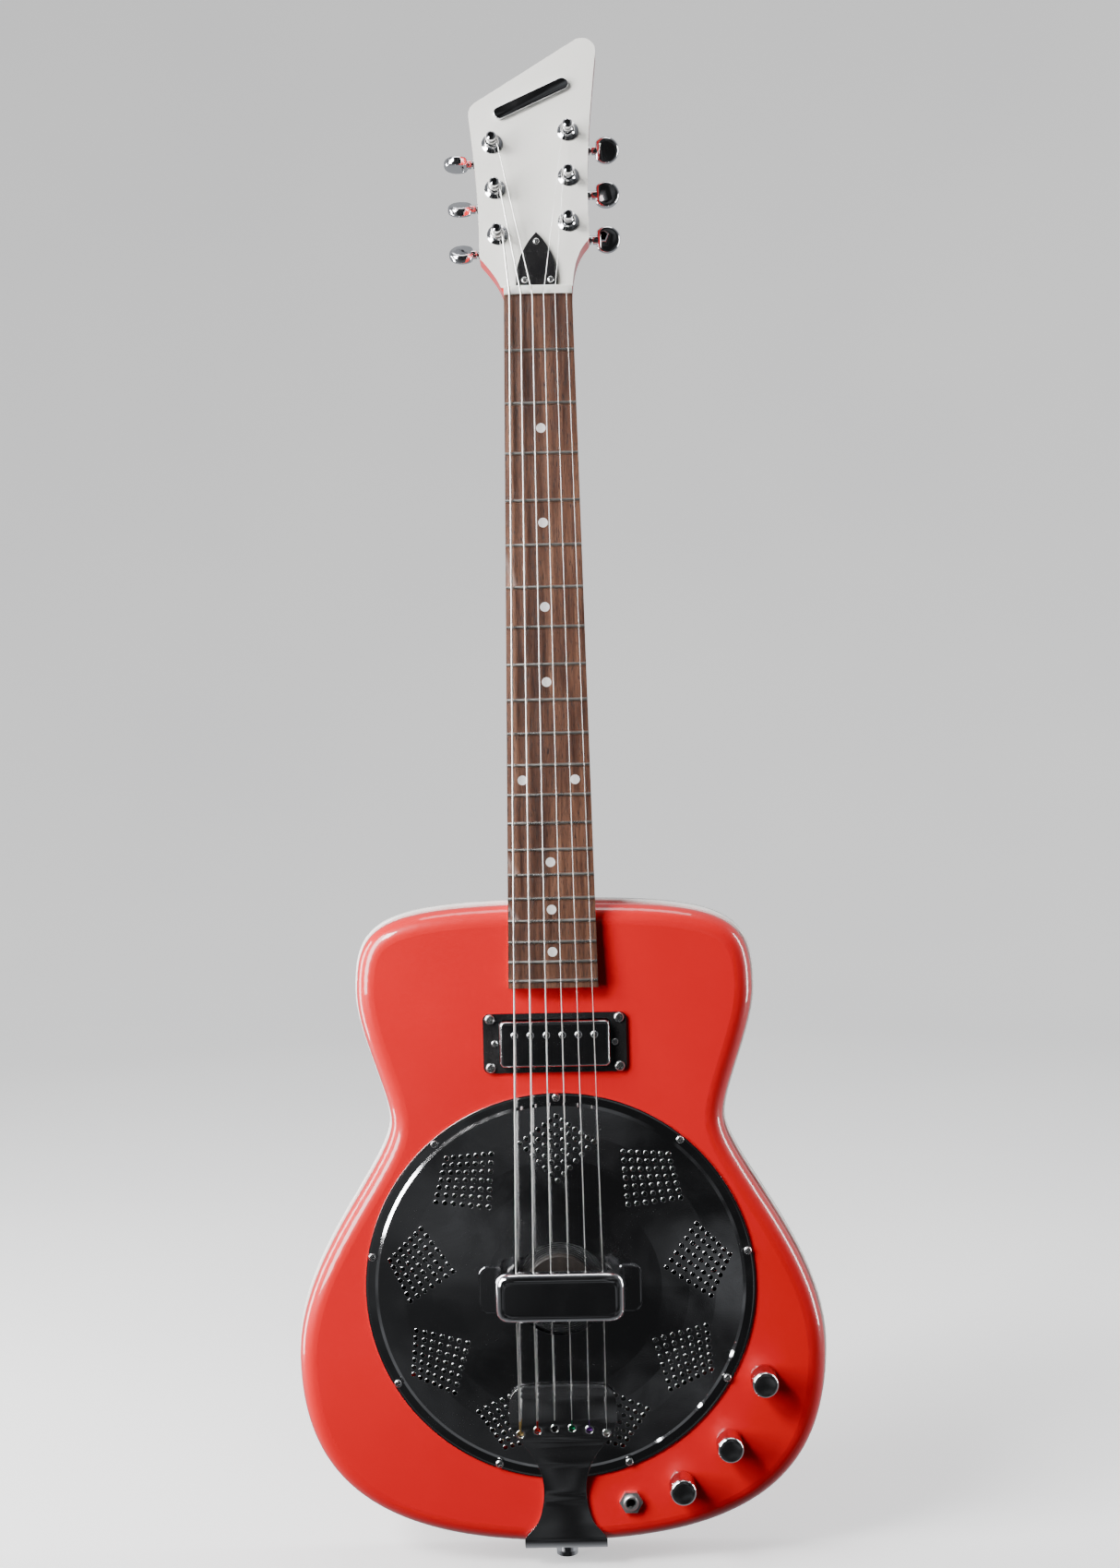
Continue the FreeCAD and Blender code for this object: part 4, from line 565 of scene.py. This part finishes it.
softened("tailpiece", 0.45, "tail_chrome")
softened("truss_rod_cover", 0.5, "black_plastic")
softened("headstock_badge", 0.4, "chrome")
softened("pickup_ring", 0.45, "black_plastic")
softened("nut", 0.3, "nut_white")
softened("bridge_saddle", 0.3, "maple")
softened("neck_plate", 0.4, "chrome")
softened("tuner_housings", 0.5, "chrome")
for number in range(1, 7):
    softened("tuner_button_%d" % number, 0.7, "chrome", "tuner_key_%d" % number)

# %% [markdown]
# The control knobs are turned brass, chromed, with a diamond knurl round
# the barrel and a polished bevelled cap. A knurl is two sets of grooves
# that cross: here every second point of each ring is pushed in, and the
# next ring is pushed the other way, which gives small diamonds.

# %% Knurled knobs
KNOBS = {"volume": (127.4, -60.4), "blend": (104.9, -101.4), "tone": (74.6, -128.0)}
KNOB_RADIUS, KNOB_HEIGHT, KNOB_LIFT = 8.3, 17.0, 0.8
KNURL, KNURL_ROWS, KNURL_DEPTH = 72, 15, 0.28
for label, (x, z) in KNOBS.items():
    bm = bmesh.new()
    skirt = [(3.4, 1.2), (6.2, 1.2), (6.4, 0.0), (KNOB_RADIUS - 0.3, 0.0), (KNOB_RADIUS, 0.3),
             (KNOB_RADIUS, 0.9)]
    low, high_row = 1.1, KNOB_HEIGHT - 4.2
    rows = [(KNOB_RADIUS, low + (high_row - low) * k / KNURL_ROWS) for k in range(KNURL_ROWS + 1)]
    cap = [(KNOB_RADIUS - 0.45, KNOB_HEIGHT - 4.0), (KNOB_RADIUS - 0.45, KNOB_HEIGHT - 3.7),
           (KNOB_RADIUS, KNOB_HEIGHT - 3.5), (KNOB_RADIUS, KNOB_HEIGHT - 2.0),
           (KNOB_RADIUS - 0.25, KNOB_HEIGHT - 1.2), (KNOB_RADIUS - 0.8, KNOB_HEIGHT - 0.5),
           (KNOB_RADIUS - 1.6, KNOB_HEIGHT - 0.1), (KNOB_RADIUS - 2.4, KNOB_HEIGHT)]
    profile = [(r * MM, h * MM) for r, h in skirt + rows + cap]
    _, loop = rings(bm, profile, KNURL)
    bmesh.ops.holes_fill(bm, edges=loop)
    for vert in bm.verts:
        height = vert.co.z / MM
        if low - 0.01 < height < high_row + 0.01 and vert.co.xy.length > (KNOB_RADIUS - 0.01) * MM:
            column = round(math.atan2(vert.co.y, vert.co.x) / math.tau * KNURL)
            row = round((height - low) / (high_row - low) * KNURL_ROWS)
            if (column + row) % 2:
                vert.co.xy *= 1 - KNURL_DEPTH / KNOB_RADIUS
    seat(bm, bm.verts[:], on_face(x, z, KNOB_LIFT))
    piece("knurled_knob_" + label, bm, "knob_chrome", "control_" + label, ["knob_" + label], sharp=50)

# %% [markdown]
# The hand rest is one pressed sheet: a bar with generous rounds, open
# below so that the strings pass under it, and two flat ears that hold it
# to the cover plate. The bar is a stack of rounded rectangles: each is a
# circle whose points are pushed out to a superellipse, and the stack
# shrinks at the crest, which gives the pillow-like rounds of the real one.

# %% Hand rest
REST_LENGTH, REST_WIDTH, REST_TOP, REST_THICK = 81.0, 32.0, 29.0, 1.6
REST_EARS, REST_EAR_HEIGHT, OPENING_DROP, LEG = 103.0, 30.0, 6.5, 9.0
CORNER = 8.5
foot = cover_height(34.0) + 0.05


def rounded_outline(bm, length, width, corner, height, segments=96):
    """A ring of points on a rounded rectangle, in the XY plane at a height."""
    made = bmesh.ops.create_circle(bm, radius=1.0, segments=segments)["verts"]
    straight_x, straight_y = length / 2 - corner, width / 2 - corner
    for vert in made:
        angle = math.atan2(vert.co.y, vert.co.x)
        x, y = math.cos(angle), math.sin(angle)
        reach = min(length / 2 / max(abs(x), 1e-6), width / 2 / max(abs(y), 1e-6))
        x, y = x * reach, y * reach
        over_x, over_y = abs(x) - straight_x, abs(y) - straight_y
        if over_x > 0 and over_y > 0:
            grip = corner / math.hypot(over_x, over_y)
            x = math.copysign(straight_x + over_x * grip, x)
            y = math.copysign(straight_y + over_y * grip, y)
        vert.co = Vector((x, y, height))
    return list({edge for vert in made for edge in vert.link_edges})


def shell_of(bm, inset, bottom):
    """Walls and crest of the bar, one thickness in for the inner skin."""
    round_over = 6.0 - inset
    levels = [(0.0, bottom), (0.0, REST_TOP - OPENING_DROP), (0.0, REST_TOP - inset - round_over)]
    for step in range(1, 8):
        angle = math.radians(90 * step / 7)
        levels.append((round_over * (1 - math.cos(angle)),
                       REST_TOP - inset - round_over + round_over * math.sin(angle)))
    levels.append((round_over + 0.6, REST_TOP - inset))
    loops = []
    for shrink, height in levels:
        corner = max(CORNER - inset - shrink * 0.8, 1.5)
        loops.append(rounded_outline(bm, REST_LENGTH - 2 * (inset + shrink),
                                     REST_WIDTH - 2 * (inset + shrink), corner, height))
    for lower, upper in zip(loops, loops[1:]):
        bmesh.ops.bridge_loops(bm, edges=lower + upper)
    bmesh.ops.holes_fill(bm, edges=loops[-1])
    return loops[0]


bm = bmesh.new()
outer_foot = shell_of(bm, 0.0, foot)
inner_foot = shell_of(bm, REST_THICK, foot)
bmesh.ops.bridge_loops(bm, edges=outer_foot + inner_foot)
window = []
for face in bm.faces:
    middle = face.calc_center_median()
    if abs(middle.x) < REST_LENGTH / 2 - LEG and middle.z < REST_TOP - OPENING_DROP - 0.1:
        window.append(face)
bmesh.ops.delete(bm, geom=window, context="FACES")
open_edges = [edge for edge in bm.edges if edge.is_boundary]
bmesh.ops.bridge_loops(bm, edges=[e for e in open_edges if e.verts[0].co.y > 0])
bmesh.ops.bridge_loops(bm, edges=[e for e in open_edges if e.verts[0].co.y < 0])
print("open edges left in the bar:", sum(edge.is_boundary for edge in bm.edges))
bmesh.ops.scale(bm, vec=(MM, MM, MM), verts=bm.verts[:])
seat(bm, bm.verts[:], on_face(0, 0))
piece("hand_rest_bar", bm, "chrome", "guitar", ["hand_rest"], sharp=40)

bm = bmesh.new()
ear_lift = cover_height(REST_EARS / 2 - 4) + 0.1
for side in (-1, 1):
    start = len(bm.verts)
    length = (REST_EARS - REST_LENGTH) / 2 + 5.0
    loops = []
    for shrink, height in ((0.5, 0.0), (0.0, 0.5), (0.0, 1.1), (0.25, 1.5), (0.9, 1.7), (1.4, 1.7)):
        loops.append(rounded_outline(bm, length - 2 * shrink, REST_EAR_HEIGHT - 2 * shrink,
                                     6.0 - shrink, height, 64))
    for lower, upper in zip(loops, loops[1:]):
        bmesh.ops.bridge_loops(bm, edges=lower + upper)
    bmesh.ops.holes_fill(bm, edges=loops[0])
    bmesh.ops.holes_fill(bm, edges=loops[-1])
    bm.verts.ensure_lookup_table()
    made = bm.verts[start:]
    bmesh.ops.scale(bm, vec=(MM, MM, MM), verts=made)
    seat(bm, made, on_face(side * (REST_EARS - length) / 2, 0, ear_lift))
piece("hand_rest_ears", bm, "chrome", "guitar", ["hand_rest"], sharp=40)

# %% [markdown]
# The tuner fixing screws sit on the back of the headstock and three more
# hold the truss-rod cover. The headstock leans back eleven degrees from
# upright, so their places are worked out in its own frame and turned.

# %% Headstock screws
HEAD_BASE = Vector((0.0, -5.606, 797.027)) * MM
LEAN = Matrix.Rotation(math.radians(-11.0), 3, "X")
TUNERS = [(20.0, 48.6, 1), (20.6, 79.0, 1), (20.8, 109.4, 1),
          (-27.7, 102.2, -1), (-26.2, 71.6, -1), (-25.0, 41.0, -1)]
HEAD_THICK, EAR_THICK, EAR_X, EAR_OFFSET = 14.5, 1.6, 5.8, 7.4


def on_head(x, y, z):
    """A point in the headstock's frame: y is depth behind its face, in mm."""
    return HEAD_BASE + LEAN @ (Vector((x, y, z)) * MM)


BACK, FACE = LEAN @ Vector((0, 1, 0)), LEAN @ Vector((0, -1, 0))
seats = [(on_head(x - side * EAR_X, HEAD_THICK + EAR_THICK, z + EAR_OFFSET), BACK, 0.7 * i)
         for i, (x, z, side) in enumerate(TUNERS)]
piece("tuner_screws", copies(screw_master(1.9, 0.9, CROSS), seats), "screw_steel", "guitar",
      ["headstock_screws"])
NUT_THICK, TIP_Z, HALF, COVER_X = 5.5, 41.5, 13.2, -0.6
base = NUT_THICK + 0.9
spots = [(COVER_X, TIP_Z - 6.2), (COVER_X - HALF + 5.5, base + 3.4), (COVER_X + HALF - 4.5, base + 3.4)]
seats = [(on_head(x, -2.0, z), FACE, 0.5 + i) for i, (x, z) in enumerate(spots)]
piece("rod_cover_screws", copies(screw_master(2.1, 1.0, CROSS), seats), "screw_steel", "guitar",
      ["headstock_screws"])

# %% [markdown]
# Pole screws are cheese heads with one wide slot, just proud of the cover.

# %% Pole screws
PICKUP_HEIGHT, POLE_PITCH, POLE_RADIUS = 7.5, 10.05, 2.3
seats = [(on_face(POLE_PITCH * (i - 2.5), PICKUP_Z + 5.7, PICKUP_HEIGHT - 0.2), FRONT, 0.25 * i - 0.6)
         for i in range(6)]
piece("pole_screw_heads", copies(screw_master(POLE_RADIUS, 0.9, SLOT), seats), "bright_chrome",
      "guitar", ["pickup_pole_screws"])

# %% [markdown]
# The guitar stands on a plain pale floor that curves up into a round wall,
# so there is no horizon from any side. Only the camera sees this backdrop:
# reflections and light pass through it, so the chrome mirrors the dark
# side of the room, as it does between two soft boxes.

# %% Backdrop
pale = Finish("pale_backdrop", (0.80, 0.80, 0.80), 0.9)
shade = pale.ramp(pale.noise(1.5, 2), (0.3, (0.77, 0.77, 0.775)), (0.7, (0.81, 0.81, 0.805)))
pale.link(shade, "Base Color")
pale.link(pale.bump(pale.noise(40, 3), 0.0004, 0.2), "Normal")
pale.link(shade, "Emission Color")
pale.shader.inputs["Emission Strength"].default_value = 0.72
FLOOR_Z, FLOOR_RADIUS, CURVE, WALL_HEIGHT = -0.0125, 3.4, 1.4, 5.0
bm = bmesh.new()
centre = bm.verts.new((0, 0, FLOOR_Z))
edge_points = [centre]
for step in range(10):
    angle = math.radians(10 * step)
    edge_points.append(bm.verts.new((FLOOR_RADIUS - CURVE + CURVE * math.sin(angle), 0,
                                     FLOOR_Z + CURVE - CURVE * math.cos(angle))))
edge_points.append(bm.verts.new((FLOOR_RADIUS, 0, WALL_HEIGHT)))
edges = [bm.edges.new(pair) for pair in zip(edge_points, edge_points[1:])]
bmesh.ops.spin(bm, geom=edge_points + edges, cent=(0, 0, 0), axis=(0, 0, 1), angle=math.tau,
               steps=64, use_merge=True)
bmesh.ops.remove_doubles(bm, verts=bm.verts[:], dist=1e-5)
bmesh.ops.recalc_face_normals(bm, faces=bm.faces[:])
mesh = bpy.data.meshes.new("backdrop")
bm.to_mesh(mesh)
bm.free()
ground = bpy.data.objects.new("backdrop", mesh)
for face in mesh.polygons:
    face.use_smooth = True
ground.visible_glossy = ground.visible_diffuse = ground.visible_shadow = False
bpy.context.scene.collection.objects.link(ground)
mesh.materials.append(pale.material)
ground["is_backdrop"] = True
print("backdrop", FLOOR_RADIUS, "m round")

# %% [markdown]
# A large soft box to the left makes the long white highlights on the
# lacquer, a weaker one on the right opens the shadows, and the room adds
# an even grey. The background that the eye sees is pale, while the room
# that the metal mirrors is dark in front and brighter behind.

# %% Lights


def soft_box(name, place, target, width, height, power):
    data = bpy.data.lights.new(name, "AREA")
    data.shape, data.size, data.size_y, data.energy = "RECTANGLE", width, height, power
    lamp = bpy.data.objects.new(name, data)
    lamp.location = place
    lamp.rotation_euler = (Vector(target) - Vector(place)).to_track_quat("-Z", "Y").to_euler()
    bpy.context.scene.collection.objects.link(lamp)
    return lamp


MIDDLE = (0.0, 0.0, 0.40)
soft_box("key_left", (-1.05, -0.62, 0.80), MIDDLE, 0.45, 1.3, 42)
soft_box("rim_left", (-1.4, 0.30, 0.45), MIDDLE, 0.3, 1.4, 26)
soft_box("rim_right", (1.5, 0.15, 0.6), MIDDLE, 0.2, 1.4, 22)
soft_box("top", (0.0, 0.1, 2.2), MIDDLE, 1.2, 0.6, 12)
soft_box("head_light", (-1.2, -1.3, 1.8), (0, 0, 0.82), 0.5, 0.5, 46)

world = bpy.data.worlds.new("studio")
world.use_nodes = True
bpy.context.scene.world = world
tree = world.node_tree
mirrored = tree.nodes["Background"]
seen = tree.nodes.new("ShaderNodeBackground")
seen.inputs["Color"].default_value = (0.80, 0.81, 0.82, 1)
seen.inputs["Strength"].default_value = 0.9
coords = tree.nodes.new("ShaderNodeTexCoord")
split = tree.nodes.new("ShaderNodeSeparateXYZ")
tree.links.new(coords.outputs["Generated"], split.inputs[0])
room = tree.nodes.new("ShaderNodeMapRange")
tree.links.new(split.outputs["Y"], room.inputs["Value"])
for socket, value in (("From Min", -0.6), ("From Max", 0.5), ("To Min", 0.012), ("To Max", 0.42)):
    room.inputs[socket].default_value = value
mirrored.inputs["Color"].default_value = (0.93, 0.96, 1.0, 1)
haze = tree.nodes.new("ShaderNodeTexNoise")
haze.inputs["Scale"].default_value = 3.2
haze.inputs["Detail"].default_value = 2.0
haze.inputs["Distortion"].default_value = 0.8
tree.links.new(coords.outputs["Generated"], haze.inputs["Vector"])
patches = tree.nodes.new("ShaderNodeMapRange")
tree.links.new(haze.outputs["Fac"], patches.inputs["Value"])
for socket, value in (("From Min", 0.50), ("From Max", 0.68), ("To Min", 0.0), ("To Max", 0.09)):
    patches.inputs[socket].default_value = value
both = tree.nodes.new("ShaderNodeMath")
tree.links.new(room.outputs["Result"], both.inputs[0])
tree.links.new(patches.outputs["Result"], both.inputs[1])
tree.links.new(both.outputs[0], mirrored.inputs["Strength"])
path = tree.nodes.new("ShaderNodeLightPath")
choose = tree.nodes.new("ShaderNodeMixShader")
tree.links.new(path.outputs["Is Camera Ray"], choose.inputs[0])
tree.links.new(mirrored.outputs[0], choose.inputs[1])
tree.links.new(seen.outputs[0], choose.inputs[2])
tree.links.new(choose.outputs[0], tree.nodes["World Output"].inputs["Surface"])
print("soft boxes and a room that is dark in front")

# %% [markdown]
# The camera stands about 1.3 m in front, a little right of the middle and
# level with the neck joint, and looks very slightly down. It is
# rolled about one degree, so the guitar leans a little in the frame.

# %% Camera
LENS, SENSOR = 46.61565, 36.0   # millimetres
SHIFT = (-0.000118, -0.004532)  # share of the longer side
CAMERA_PLACE = (0.0278, -1.296, 0.550)
right = Vector((0.99962, 0.01518, -0.02300))
forward = Vector((-0.01617, 0.99891, -0.04373)).normalized()
right = (right - forward * right.dot(forward)).normalized()
up = right.cross(forward)
camera_data = bpy.data.cameras.new("camera")
camera_data.sensor_width = SENSOR
camera_data.lens = LENS
camera_data.shift_x, camera_data.shift_y = SHIFT
camera_data.clip_start, camera_data.clip_end = 0.05, 50
camera = bpy.data.objects.new("camera", camera_data)
turn = Matrix((right, up, -forward)).transposed()
camera.matrix_world = Matrix.Translation(CAMERA_PLACE) @ turn.to_4x4()
bpy.context.scene.collection.objects.link(camera)
bpy.context.scene.camera = camera
print("camera lens", round(camera_data.lens, 1), "mm")

# %% Sizes of the frame and of the finished guitar
low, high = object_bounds()
print("visual box", [round(v, 4) for v in low], [round(v, 4) for v in high])
